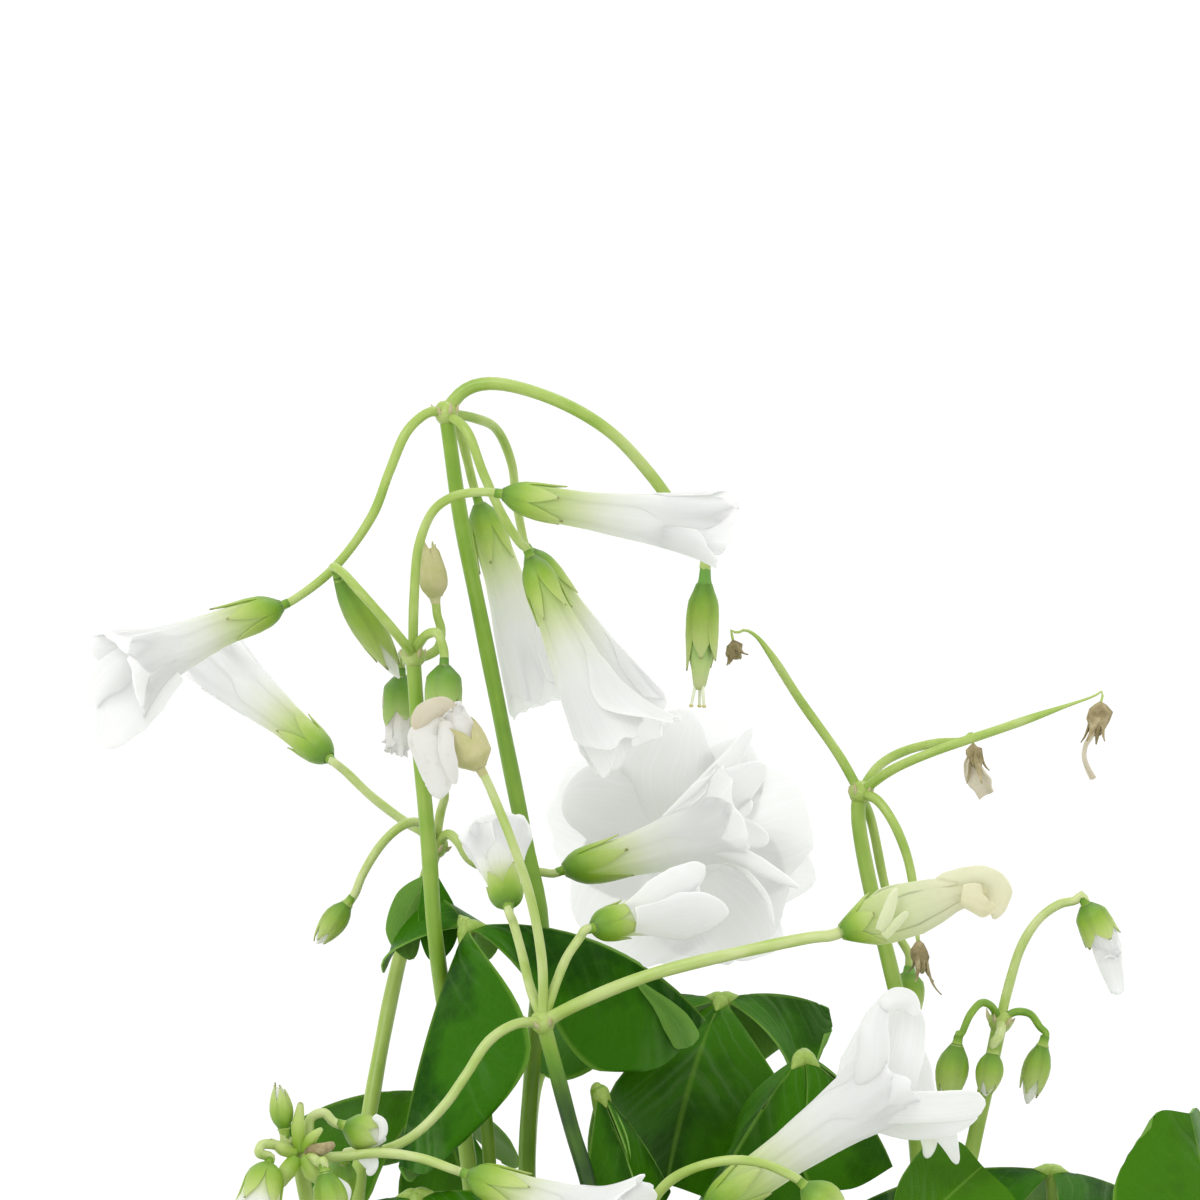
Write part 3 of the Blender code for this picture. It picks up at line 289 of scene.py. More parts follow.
# ------------------------------------------------------ flower stems, flowers
# Each umbel is a stem (foot first) whose top carries several pedicels. Each head
# ends a pedicel: kind, then the drawing's points where it begins and ends, and
# its radius in millimetres at the end.
def umbels():
    return {
        "A": {"stem": [foot(-4, 2), at(575, 1650, 4.5), at(540, 1350, 5.2), at(527, 1170, 5.2),
                       at(533, 1057, 5.2), at(541, 926, 4.8), at(527, 850, 4), at(505, 740, 2.5),
                       at(481, 620, 1), at(461, 520, 0.5), at(446, 413, 0)],
              "rays": {
                  "flower_a1": [(452, 413, 0), (430, 412, -1), (408, 430, -2), (390, 470, -2.4),
                                (372, 516, -2.4), (332, 570, -2.0), (281, 606, -3)],
                  "flower_a2": [(452, 413, 0), (458, 428, 2.4), (466, 455, 3.4), (472, 480, 4.0),
                                (479, 504, 4.2)],
                  "flower_a3": [(452, 413, 0), (466, 430, -2.2), (484, 475, -3.0), (504, 518, -3.2),
                                (521, 544, -3.2), (531, 558, -3.2)],
                  "flower_a4": [(452, 413, 0), (474, 418, 3), (497, 430, 7.5), (512, 465, 11),
                                (516, 500, 12.5), (522, 532, 13.5), (530, 552, 14)],
                  "seed_pod_a5": [(452, 413, 0), (459, 395, 0.5), (474, 386, 0.5), (500, 384, 0),
                                  (560, 402, -1), (610, 432, -1), (650, 474, 0), (684, 522, 1),
                                  (705, 568, 1.5)]}},
        "B": {"stem": [foot(-12, -8), at(530, 1650, -6), at(488, 1350, -1.0), at(468, 1160, 0.2),
                       at(445, 1010, 0.5), at(434, 925, -2.6), at(429, 850, -3.6), at(420, 750, -4.2),
                       at(413, 656, -4)],
              "rays": {
                  "flower_b1": [(413, 654, -4), (414, 600, -5), (419, 545, -6.5), (434, 510, -7.5),
                                (455, 496, -8.5), (480, 492, -8.5), (503, 494, -8.5)],
                  "bud_b2": [(413, 654, -4), (404, 643, -6.4), (378, 612, -8.2), (354, 585, -8.4),
                             (343, 573, -7.2), (338, 575, -5.4)],
                  "seed_pod_b3": [(413, 654, -4), (426, 656, -2.2), (438, 648, -1.8), (441, 630, -1.8),
                                  (436, 604, -1.8)],
                  "spent_flower_b4": [(413, 654, -4), (420, 642, -5.4), (428, 634, -6.4),
                                      (437, 633, -7), (442, 644, -7), (444, 666, -7)],
                  "spent_flower_b5": [(413, 654, -4), (405, 652, 0), (400, 660, 4.4), (401, 676, 6.4)]}},
        "C": {"stem": [foot(2, -10), at(650, 1650, -10), at(618, 1350, -13), at(590, 1190, -15),
                       at(572, 1130, -16), at(556, 1070, -17), at(543, 1022, -18)],
              "rays": {
                  "spent_flower_c1": [(543, 1021, -18), (542, 962, -19), (531, 900, -20),
                                      (515, 850, -21), (496, 802, -21.5), (480, 768, -22)],
                  "flower_c2": [(543, 1021, -18), (531, 990, -17), (521, 950, -16.4),
                                (513, 922, -16), (508, 905, -15.6)],
                  "flower_c3": [(543, 1021, -18), (555, 986, -17.8), (567, 957, -17.4),
                                (581, 936, -17), (593, 928, -16.6)],
                  "faded_flower_c4": [(543, 1021, -18), (580, 1003, -19.5), (650, 975, -21),
                                      (750, 950, -22), (815, 937, -23), (841, 932, -23)],
                  "spent_flower_c5": [(543, 1021, -18), (516, 1024, -20), (490, 1040, -21),
                                      (466, 1075, -22), (444, 1106, -23), (410, 1138, -24),
                                      (375, 1152, -23.4), (343, 1162, -22)]}},
        "D": {"stem": [foot(-24, 10), at(415, 1700, 8), at(368, 1400, 6.5), at(356, 1210, 8),
                       at(370, 1110, 10.5), at(402, 950, 16.8), at(422, 892, 16.4), at(436, 846, 14)],
              "rays": {
                  "flower_d1": [(436, 844, 14), (424, 833, 14), (404, 821, 15), (370, 795, 16),
                                (345, 771, 16.5), (329, 758, 17)],
                  "bud_d2": [(436, 844, 14), (427, 828, 12), (414, 822, 10.5), (400, 827, 9.5),
                             (381, 845, 9), (362, 876, 8.5), (348, 903, 8.5)],
                  "flower_d3": [(436, 844, 14), (448, 834, 12), (458, 842, 10.6), (470, 860, 9.8),
                                (500, 871, 9.2), (540, 872, 8.8), (564, 870, 8.6)],
                  "dry_head_d4": [(436, 844, 14), (440, 815, 12.8), (445, 795, 11.6), (443, 772, 10.6)]}},
        "E": {"stem": [foot(13, 6), at(850, 1650, 7), at(912, 1350, 6), at(920, 1200, 5.5),
                       at(912, 1100, 5), at(901, 1015, 5), at(889, 962, 5), at(871, 890, 5),
                       at(858, 815, 5), at(860, 793, 5)],
              "rays": {
                  "dry_head_e1": [(860, 791, 5), (840, 757, 5.4), (800, 700, 6), (771, 655, 6),
                                  (756, 636, 6), (745, 630, 6), (736, 633, 6), (733, 640, 6)],
                  "dry_head_e2": [(860, 791, 5), (880, 765, 7.4), (905, 751, 8.4), (940, 742, 8.6),
                                  (964, 738, 8.6), (973, 743, 8.6)],
                  "dry_head_e3": [(860, 791, 5), (890, 771, 3), (930, 753, 2), (1000, 729, 2),
                                  (1060, 708, 2), (1094, 696, 2), (1101, 702, 2)],
                  "dry_head_e4": [(860, 791, 5), (877, 800, 3), (893, 822, 1.8), (907, 856, 1.4),
                                  (914, 892, 1.4), (918, 940, 1.4)],
                  "seed_pod_e5": [(860, 791, 5), (871, 820, 7.6), (884, 882, 9.4), (898, 934, 10),
                                  (909, 966, 10)]}},
        "G": {"stem": [foot(6, -23), at(690, 1700, -27), at(655, 1400, -29), at(642, 1290, -30),
                       at(640, 1240, -30)],
              "rays": {
                  "flower_g1": [(640, 1238, -30), (655, 1230, -28.6), (680, 1220, -27),
                                (706, 1212, -26)],
                  "bud_g2": [(640, 1238, -30), (650, 1206, -31.5), (670, 1181, -32.5),
                             (700, 1166, -33.5), (735, 1160, -34), (765, 1164, -34.4),
                             (790, 1175, -34.6), (805, 1186, -34.6)]}},
        "H": {"stem": [foot(20, -13), at(900, 1700, -9), at(944, 1380, -6), at(960, 1200, -5.5),
                       at(972, 1150, -5.5), at(983, 1100, -5.5), at(992, 1060, -6), at(1000, 1022, -6)],
              "rays": {
                  "flower_h1": [(1000, 1020, -6), (1009, 985, -6), (1022, 945, -6), (1040, 918, -6),
                                (1060, 904, -6), (1076, 900, -6), (1086, 905, -6)],
                  "bud_h2": [(1000, 1020, -6), (991, 1006, -7.4), (981, 1003, -8.6), (970, 1015, -9.4),
                             (961, 1034, -9.8), (957, 1044, -10)],
                  "bud_h3": [(1000, 1020, -6), (1001, 1030, -8.8), (997, 1040, -10.4), (993, 1052, -10.8)],
                  "bud_h4": [(1000, 1020, -6), (1015, 1012, -6), (1030, 1014, -6), (1040, 1027, -6),
                             (1043, 1044, -6)]}},
        "I": {"stem": [foot(-13, -21), at(490, 1700, -27), at(385, 1400, -29), at(325, 1260, -29),
                       at(304, 1185, -28), at(300, 1156, -28)],
              "rays": {
                  "bud_i1": [(300, 1154, -28), (291, 1142, -28.6), (284, 1130, -29)],
                  "bud_i2": [(300, 1154, -28), (308, 1135, -27.6), (311, 1118, -27.4), (324, 1113, -27.4),
                             (345, 1126, -27.4)],
                  "flower_i3": [(300, 1154, -28), (280, 1146, -30), (262, 1145, -31), (259, 1153, -31.4),
                                (268, 1166, -31.6)],
                  "bud_i4": [(300, 1154, -28), (312, 1157, -30.4), (320, 1163, -32), (325, 1172, -32.4)],
                  "flower_i5": [(300, 1154, -28), (336, 1157, -28.6), (380, 1153, -29.6),
                                (420, 1158, -31), (452, 1169, -32), (469, 1175, -32)]}},
        "K": {"stem": [foot(-3, 16), at(560, 1650, 30), at(530, 1350, 36), at(527, 1230, 38),
                       at(529, 1150, 39), at(536, 1082, 40), at(556, 1040, 41)],
              "rays": {
                  "flower_k1": [(556, 1038, 41), (586, 992, 43), (612, 950, 44), (640, 912, 44.5),
                                (676, 878, 43), (694, 864, 40)]}},
    }


# kind, end point on the drawing, end radius mm
HEADS = {
    "flower_a1": ("open", (108, 684, -9), 6.0),
    "flower_a2": ("open", (543, 704, 4.5), 4.4),
    "flower_a3": ("open", (620, 742, -7), 5.2),
    "flower_a4": ("open", (628, 706, 22), 4.6),
    "seed_pod_a5": ("pod", (699, 690, 1.5), 1.45),
    "flower_b1": ("open", (722, 524, -10), 4.2),
    "bud_b2": ("bud", (399, 678, 1.6), 1.9),
    "seed_pod_b3": ("pod", (430, 548, -1.8), 1.3),
    "spent_flower_b4": ("spent", (441, 792, -8.6), 2.0),
    "spent_flower_b5": ("spent", (400, 757, 7.4), 1.9),
    "spent_flower_c1": ("spent", (447, 708, -22), 2.0),
    "flower_c2": ("open", (497, 838, -9.5), 4.6),
    "flower_c3": ("open", (709, 898, -7.0), 4.0),
    "faded_flower_c4": ("faded", (992, 880, -22), 3.0),
    "spent_flower_c5": ("spent", (322, 1226, -19), 1.9),
    "flower_d1": ("open", (218, 662, 31), 5.0),
    "bud_d2": ("bud", (317, 944, 8.5), 1.5),
    "flower_d3": ("open", (748, 806, 10.5), 8.0),
    "flower_g1": ("open", (918, 1062, -22), 8.2),
    "flower_h1": ("spent", (1121, 990, -6), 2.0),
    "flower_i3": ("open", (243, 1262, -40), 6.0),
    "flower_i5": ("open", (628, 1232, -37), 6.0),
    "flower_k1": ("open", (682, 842, 22), 13.2),
    # small heads that belong to the stem's own body
    "bud_h2": ("bud", (946, 1104, -10), 1.75),
    "bud_h3": ("bud", (985, 1096, -10.8), 1.65),
    "bud_h4": ("bud", (1027, 1104, -6), 1.6),
    "bud_g2": ("bud", (845, 1222, -34.6), 2.1),
    "bud_i1": ("bud", (278, 1086, -29), 1.5),
    "bud_i2": ("bud", (386, 1140, -27.4), 1.9),
    "bud_i4": ("bud", (338, 1234, -33.5), 1.7),
    "dry_head_d4": ("dry", (441, 742, 9.8), 1.1),
    "dry_head_e1": ("dry", (736, 660, 6), 1.1),
    "dry_head_e2": ("dry", (981, 795, 8.6), 1.3),
    "dry_head_e3": ("dry", (1087, 776, 2), 1.1),
    "dry_head_e4": ("dry", (924, 988, 1.4), 1.1),
    "seed_pod_e5": ("pod", (908, 1024, 10), 1.6),
}
JOINED = {"bud_h2", "bud_h3", "bud_h4", "bud_g2", "bud_i1", "bud_i2", "bud_i4", "dry_head_d4",
          "dry_head_e1", "dry_head_e2", "dry_head_e3", "dry_head_e4", "seed_pod_e5"}


def grown_leaf(k, count, seed):
    """Leaf k of count in the rest of the canopy: at the golden angle, from the middle
    out, under a dome. seed picks its own height, turn, reach and size."""
    rng = random.Random(1000 * k + seed)
    az = math.radians(137.508 * (k + 3) + rng.uniform(-40, 40))
    share = min(1.0, (k + 1.6) / count)
    r = (17 + 52 * share ** 0.7 + rng.uniform(-9, 9)) * MM
    hub_z = 0.1500 - 0.036 * (r / 0.075) ** 2 + rng.uniform(-0.020, 0.008)
    hub = Vector((r * math.cos(az) + 0.004, r * math.sin(az), hub_z))
    fr = (8 + 22 * share + rng.uniform(-6, 6)) * MM
    fa = az + rng.uniform(-0.8, 0.8)
    base = Vector((fr * math.cos(fa), fr * math.sin(fa), SOIL_Z + GAP))
    out = Vector((math.cos(az), math.sin(az), 0))
    rise = hub_z - base.z
    route = [base, base + Vector((0, 0, rise * 0.22)) + (hub - base) * 0.05,
             base + (hub - base) * 0.42 + Vector((0, 0, rise * 0.16)),
             base + (hub - base) * 0.74 + Vector((0, 0, rise * 0.12)), hub]
    yaw = az + rng.uniform(-1.05, 1.05)
    tilt = math.radians(12 + 26 * (r / 0.085) + rng.uniform(-8, 8))
    up = (Vector((0, 0, math.cos(tilt))) + out * math.sin(tilt)).normalized()
    size = rng.uniform(0.84, 1.06)
    leaflets = []
    for j in range(3):
        a = yaw + j * 2 * math.pi / 3 + rng.uniform(-0.12, 0.12)
        flat = Vector((math.cos(a), math.sin(a), 0))
        d = (flat - up * flat.dot(up)).normalized() + up * rng.uniform(-0.22, 0.10)
        leaflets.append(lf(d, up, rng.uniform(25, 29), rng.uniform(14.5, 17), rng.uniform(-30, -10),
                           rng.uniform(22, 44), rng.uniform(-6, 6), rng.uniform(-22, -8)))
    return route, leaflets, size



# ------------------------------------------------------------------- shapes
def unit(v):
    n = np.linalg.norm(v)
    return v / n if n > 1e-12 else v


def vec(p):
    return np.array((p[0], p[1], p[2]), float)


def soft(x):
    x = np.clip(x, 0, 1)
    return x * x * (3 - 2 * x)


def wander(p, scale, seed=0.0):
    """Smooth noise from -1 to 1 at a point, with features of about 1/scale metres."""
    return noise.noise(Vector((p[0] * scale + seed, p[1] * scale - seed * 0.7, p[2] * scale + seed * 1.3)))


def wander3(p, scale, seed=0.0):
    v = noise.noise_vector(Vector((p[0] * scale + seed, p[1] * scale - seed * 0.7, p[2] * scale + seed * 1.3)))
    return np.array((v.x, v.y, v.z))


class Shape:
    """A mesh of closed bodies. Each corner carries how far along and across its own
    body it is, and each point a tone."""

    def __init__(self):
        self.verts, self.faces, self.corners, self.mats, self.tones = [], [], [], [], []

    def add(self, verts, faces, corners, mats, tone=0.0):
        k = len(self.verts)
        self.verts.extend([tuple(float(x) for x in v) for v in verts])
        self.tones.extend(list(tone) if hasattr(tone, "__len__") else [tone] * len(verts))
        self.faces.extend([tuple(i + k for i in f) for f in faces])
        self.corners.extend(corners)
        self.mats.extend([mats] * len(faces) if isinstance(mats, str) else mats)

    def make(self, name, node=None, slot=None):
        used = sorted(set(self.mats))
        mesh = bpy.data.meshes.new(name)
        mesh.from_pydata(self.verts, [], self.faces)
        for m in used:
            mesh.materials.append(MATS[m])
        index = {m: i for i, m in enumerate(used)}
        mesh.polygons.foreach_set("material_index", [index[m] for m in self.mats])
        uv = mesh.uv_layers.new(name="grow")
        uv.data.foreach_set("uv", [x for face in self.corners for c in face for x in c])
        tone = mesh.attributes.new("tone", "FLOAT", "POINT")
        tone.data.foreach_set("value", self.tones)
        bm = bmesh.new()
        bm.from_mesh(mesh)
        bmesh.ops.recalc_face_normals(bm, faces=bm.faces)
        bm.to_mesh(mesh)
        bm.free()
        mesh.shade_smooth()
        mesh.set_sharp_from_angle(angle=math.radians(62))
        obj = bpy.data.objects.new(name, mesh)
        bpy.context.scene.collection.objects.link(obj)
        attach(obj, "root")
        if node:
            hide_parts(node)
        return obj


def normals_of(P):
    du, dv = np.gradient(P, axis=0), np.gradient(P, axis=1)
    n = np.cross(du, dv)
    return n / np.maximum(np.linalg.norm(n, axis=2, keepdims=True), 1e-15)


def skin(shape, P, us, vs, thick, mats, tone=0.0, flip=False):
    """A thin closed sheet about the grid P, with mats for its top, underside and edge."""
    nu, nv = P.shape[:2]
    N = normals_of(P) * (-1 if flip else 1)
    T = np.broadcast_to(np.asarray(thick, float), (nu, nv))[..., None] / 2
    verts = np.concatenate([(P + N * T).reshape(-1, 3), (P - N * T).reshape(-1, 3)])
    uv = [(float(u), float(v)) for u in us for v in vs]
    k = nu * nv
    faces, corners, names = [], [], []
    for i in range(nu - 1):
        for j in range(nv - 1):
            a, b, c, d = i * nv + j, (i + 1) * nv + j, (i + 1) * nv + j + 1, i * nv + j + 1
            q = (a, b, c, d) if not flip else (d, c, b, a)
            faces += [q, tuple(k + x for x in q[::-1])]
            corners += [[uv[x] for x in q], [uv[x] for x in q[::-1]]]
            names += [mats[0], mats[1]]
    ring = list(range(nv)) + [i * nv + nv - 1 for i in range(1, nu)]
    ring += [(nu - 1) * nv + j for j in range(nv - 2, -1, -1)] + [i * nv for i in range(nu - 2, 0, -1)]
    for a, b in zip(ring, ring[1:] + ring[:1]):
        q = (a, b, k + b, k + a)
        faces.append(q)
        corners.append([uv[x % k] for x in q])
        names.append(mats[2])
    if hasattr(tone, "__len__"):
        tone = list(tone) * 2
    shape.add(verts, faces, corners, names, tone)


def rod(shape, path, radii, mat, sides=12, tone=0.0, ends=True):
    """A round stem along a path, with rounded ends."""
    path, radii = [Vector(p) for p in path], list(radii)
    tones = list(tone) if hasattr(tone, "__len__") else [tone] * len(path)
    if ends:
        a, b = (path[0] - path[1]).normalized(), (path[-1] - path[-2]).normalized()
        r0, r1 = radii[0], radii[-1]
        path = [path[0] + a * r0 * 0.75, path[0] + a * r0 * 0.5] + path + [path[-1] + b * r1 * 0.5, path[-1] + b * r1 * 0.75]
        radii = [r0 * 0.25, r0 * 0.75] + radii + [r1 * 0.75, r1 * 0.25]
        tones = [tones[0]] * 2 + tones + [tones[-1]] * 2
    verts, faces = tube(path, radii, sides)
    n = len(path)
    corners = []
    for i in range(n - 1):
        for k in range(sides):
            u0, u1, v0, v1 = i / (n - 1), (i + 1) / (n - 1), k / sides, (k + 1) / sides
            corners.append([(u0, v0), (u0, v1), (u1, v1), (u1, v0)])
    corners += [[(0.0, 0.0)] * sides, [(1.0, 0.0)] * sides]
    shape.add(verts, faces, corners, mat, [t for t in tones for _ in range(sides)])


def turned(shape, base, d, s, f, stations, mat, sides=20, lobes=(0, 0.0), twist=0.0, tone=0.0,
           rough=0.0, seed=0.0, bend=None, scale=900.0):
    """A closed body turned about base + d*a, from (a, r) in millimetres. lobes is
    (count, depth); rough pushes points about by smooth noise, in millimetres; bend
    maps a millimetre distance along to a sideways (s, f) shift."""
    rows = len(stations)
    verts = []
    top = stations[-1][0]
    for a, r in stations:
        share = a / top if top else 0
        for k in range(sides):
            t = 2 * math.pi * k / sides
            rr = r * (1 + lobes[1] * math.cos(lobes[0] * t + twist * share)) if lobes[0] else r
            p = base + d * (a * MM) + (s * math.cos(t) + f * math.sin(t)) * (rr * MM)
            if bend:
                x, y = bend(a)
                p = p + s * (x * MM) + f * (y * MM)
            if rough:
                p = p + wander3(p, scale, seed) * (rough * MM * min(1.0, r / 0.6))
            verts.append(p)
    faces, corners = [], []
    for i in range(rows - 1):
        u0, u1 = stations[i][0] / top, stations[i + 1][0] / top
        for k in range(sides):
            k2 = (k + 1) % sides
            faces.append((i * sides + k, i * sides + k2, (i + 1) * sides + k2, (i + 1) * sides + k))
            v0, v1 = k / sides, (k + 1) / sides
            corners.append([(u0, v0), (u0, v1), (u1, v1), (u1, v0)])
    faces += [tuple(range(sides))[::-1], tuple((rows - 1) * sides + k for k in range(sides))]
    corners += [[(0.0, 0.5)] * sides, [(1.0, 0.5)] * sides]
    shape.add(verts, faces, corners, mat, tone)


def egg(shape, centre, d, s, f, length, r, mat, sides=12, rows=7, tone=0.0, rough=0.0, seed=0.0):
    st = []
    for i in range(rows + 1):
        t = math.pi * i / rows
        st.append((length / 2 * (1 - math.cos(t)), max(r * math.sin(t), r * 0.06)))
    turned(shape, centre - d * (length / 2 * MM), d, s, f, st, mat, sides, tone=tone, rough=rough, seed=seed)


def axes_of(d):
    """Two directions square to d: s is a quarter turn to the left of d in the front
    view, and f is as far towards the front as it can be."""
    d = unit(d)
    front = np.array((0.0, -1.0, 0.0))
    f = front - d * front.dot(d)
    if np.linalg.norm(f) < 0.25:
        f = np.array((0.0, 0.0, -1.0)) - d * -d[2]
    f = unit(f)
    return unit(np.cross(f, d)), f


# ------------------------------------------------------------------- leaves
LEAF_US = [0.0, 0.02, 0.05, 0.09, 0.14, 0.19, 0.25, 0.31, 0.37, 0.43, 0.49, 0.55, 0.61, 0.67, 0.73,
           0.78, 0.83, 0.875, 0.915, 0.95, 0.98, 1.0]
HALF_VS = [0.0, 0.018, 0.045, 0.09, 0.16, 0.24, 0.33, 0.43, 0.53, 0.63, 0.73, 0.82, 0.90, 0.96, 1.0]
LEAF_VS = [-v for v in HALF_VS[:0:-1]] + HALF_VS


def leaf_shape(leaf, tone, seed, fine=True):
    shape = Shape()
    route = [leaf["route"][0] - Vector((0, 0, 0.0022))] + list(leaf["route"])
    path = smooth(route, 44)
    n = len(path)
    radii = []
    for i in range(n):
        t = i / (n - 1)
        r = PETIOLE_R * (1.12 - 0.32 * t) * (1 + 0.03 * math.sin(9 * t + seed))
        r *= 1 + 0.28 * math.exp(-((1 - t) / 0.022) ** 2) + 0.25 * math.exp(-(t / 0.02) ** 2)
        radii.append(r)
    tones = [0.34 + 0.16 * math.sin(3 * i / n + seed) + 0.18 * (1 - i / n) for i in range(n)]
    rod(shape, path, radii, "stem", 12, tones)
    hub = vec(leaf["route"][-1])
    us = LEAF_US if fine else LEAF_US[::2] + [1.0]
    us = sorted(set(us))
    vs = LEAF_VS
    for one in leaf["leaflets"]:
        d = unit(vec(one["out"]))
        n0 = vec(one["up"])
        n0 = unit(n0 - d * n0.dot(d))
        s0 = unit(np.cross(d, n0))
        # the short swollen stalk of the leaflet
        stalk = [Vector(hub + d * (x * MM)) for x in (-0.4, 0.1, 0.5, 0.9, 1.3, 1.8)]
        rod(shape, stalk, [0.00052, 0.00078, 0.00084, 0.00074, 0.00050, 0.00022], "stem", 12, 0.32)
        P = np.empty((len(us), len(vs), 3))
        rng = random.Random(int(seed * 1000) + int(one["length"] * 1e6))
        ph = [rng.uniform(0, 6.28) for _ in range(4)]
        wave = rng.uniform(0.25, 0.5) * MM
        for i, u in enumerate(us):
            for j, v in enumerate(vs):
                p, nn = leaflet_point(one, u, v)
                a = abs(v)
                lift = wave * (a ** 2) * math.sin(2.2 * math.pi * u + ph[0] + (0.9 if v > 0 else 0)) * min(1, u * 3)
                lift += 0.16 * MM * math.sin(11 * u + 5 * a + ph[1]) * a * min(1, u * 2)
                lift -= 0.22 * MM * math.exp(-(v / 0.05) ** 2) * (1 - 0.6 * u)
                p = p + nn * lift
                P[i, j] = (p.x, p.y, p.z)
        V = np.array(vs)
        U = np.array(us)[:, None]
        thick = 0.00030 + 0.00042 * np.exp(-(V[None, :] / 0.045) ** 2) * (1 - 0.75 * U)
        thick = thick * (1 - 0.45 * (np.abs(V[None, :]) > 0.97))
        skin(shape, P, us, [0.5 + 0.5 * v for v in vs], thick, ("leaf_top", "leaf_under", "leaf_edge"), tone, flip=True)
    return shape


# ------------------------------------------------------------------ flowers
def profile_r(stations, a):
    xs, ys = [x for x, _ in stations], [y for _, y in stations]
    return float(np.interp(a, xs, ys))


def corolla(shape, base, d, s, f, tube_st, lobe, petals, rng, thick=0.00020, overlap=0.12,
            mats=("petal", "petal", "petal"), crumple=0.0, tone=0.0, nu=(12, 22), nv=15, scale=620):
    """Five petals that meet edge to edge in a tube and overlap where they part.
    tube_st: (a, r) in millimetres up to where the lobes part; lobe: how long they are
    beyond it; petals: a dict for each with ang, flare, roll, len, wide, curl, ruffle."""
    T, RT = tube_st[-1]
    a0, r0 = tube_st[-2]
    psi0 = math.atan2(RT - r0, T - a0)
    vs = np.linspace(-1, 1, nv)
    for p in petals:
        B = lobe * p.get("len", 1.0)
        F = math.radians(p["flare"])
        roll = math.radians(p.get("roll", 0))
        qs = np.linspace(0, 1.12, 90)
        psi = psi0 + (F - psi0) * soft(qs * 0.92) ** p.get("power", 1.0) + roll * np.clip((qs - 0.74) / 0.3, 0, 2) ** 1.6
        da, dr = np.cos(psi), np.sin(psi)
        h = (qs[1] - qs[0]) * B
        A = T + np.concatenate([[0], np.cumsum((da[1:] + da[:-1]) / 2 * h)])
        R = RT + np.concatenate([[0], np.cumsum((dr[1:] + dr[:-1]) / 2 * h)])
        theta = math.radians(p["ang"])
        wide = p.get("wide", 5.4)
        ph = rng.uniform(0, 6.28)
        lop = rng.uniform(-0.05, 0.05)
        twist = math.radians(p.get("twist", 0))
        u1, u2 = np.linspace(0, 1, nu[0])[:-1], np.linspace(0, 1, nu[1])
        share = T / (T + B)
        rows, us = [], []
        for u in u1:
            a = u * T
            r = profile_r(tube_st, a)
            rows.append([(a, r, w * math.pi / 5) for w in vs])
            us.append(u * share)
        for q in u2:
            W = RT * math.pi / 5 + (wide - RT * math.pi / 5) * float(soft(q / 0.80))
            W *= 1 - p.get("taper", 0.22) * max(0.0, (q - 0.7) / 0.3) ** 2
            row = []
            for w in vs:
                e = 1 - p.get("round", 0.20) * abs(w) ** 2.3 + 0.02 * math.cos(3.1 * w * math.pi + ph) + lop * w
                e -= p.get("notch", 0.03) * math.exp(-(w / 0.22) ** 2)
                e += 0.012 * math.sin(13 * w + 2 * ph)
                qq = q * (1 + (e - 1) * float(soft(q * 1.4)))
                a, r = float(np.interp(qq, qs, A)), float(np.interp(qq, qs, R))
                row.append((a, r, w * min(W / max(r, 0.4), 1.25) + twist * q))
            rows.append(row)
            us.append(share + (1 - share) * q)
        P = np.empty((len(rows), nv, 3))
        for i, row in enumerate(rows):
            for j, (a, r, ang) in enumerate(row):
                t = theta + ang
                P[i, j] = base + d * (a * MM) + (s * math.cos(t) + f * math.sin(t)) * (r * MM)
        N = -normals_of(P)
        for i in range(len(rows)):
            q = max(0.0, (us[i] - share) / (1 - share))
            for j, w in enumerate(vs):
                off = overlap * w * float(soft(q / 0.35)) + p.get("curl", 0.4) * abs(w) ** 3 * q
                off += p.get("ruffle", 0.28) * q ** 2 * math.sin(2 * math.pi * (w * p.get("waves", 0.9)) + ph)
                off += 0.08 * math.sin(9 * w + ph) * q * q
                off += p.get("rib", 0.08) * (math.exp(-(w / 0.14) ** 2) - 1) * float(soft(us[i] / 0.2))
                P[i, j] += N[i, j] * (off * MM)
        if crumple:
            for i in range(len(rows)):
                for j in range(nv):
                    k = crumple * min(1.0, us[i] / 0.3)
                    P[i, j] += wander3(P[i, j], scale, ph) * (k * MM)
        th = np.full((len(rows), nv), thick) * (1 - 0.5 * np.abs(vs)[None, :] ** 4)
        skin(shape, P, us, [0.5 + 0.5 * v for v in vs], th, mats, tone, flip=True)


def bow(shape, base, d, s, f, length, side=0.0, front=0.0, warp=0.0, seed=0.0, start=0):
    """Bend a shape along its axis, most at the middle, and warp it a little."""
    for i in range(start, len(shape.verts)):
        p = np.array(shape.verts[i])
        x = float(np.clip((p - base).dot(d) / (length * MM), 0, 1.25))
        k = 4 * x * (1 - x)
        p = p + (s * side + f * front) * (k * MM)
        if warp:
            p = p + wander3(p, 95, seed) * (warp * MM * min(1.0, x * 1.6))
        shape.verts[i] = tuple(p)


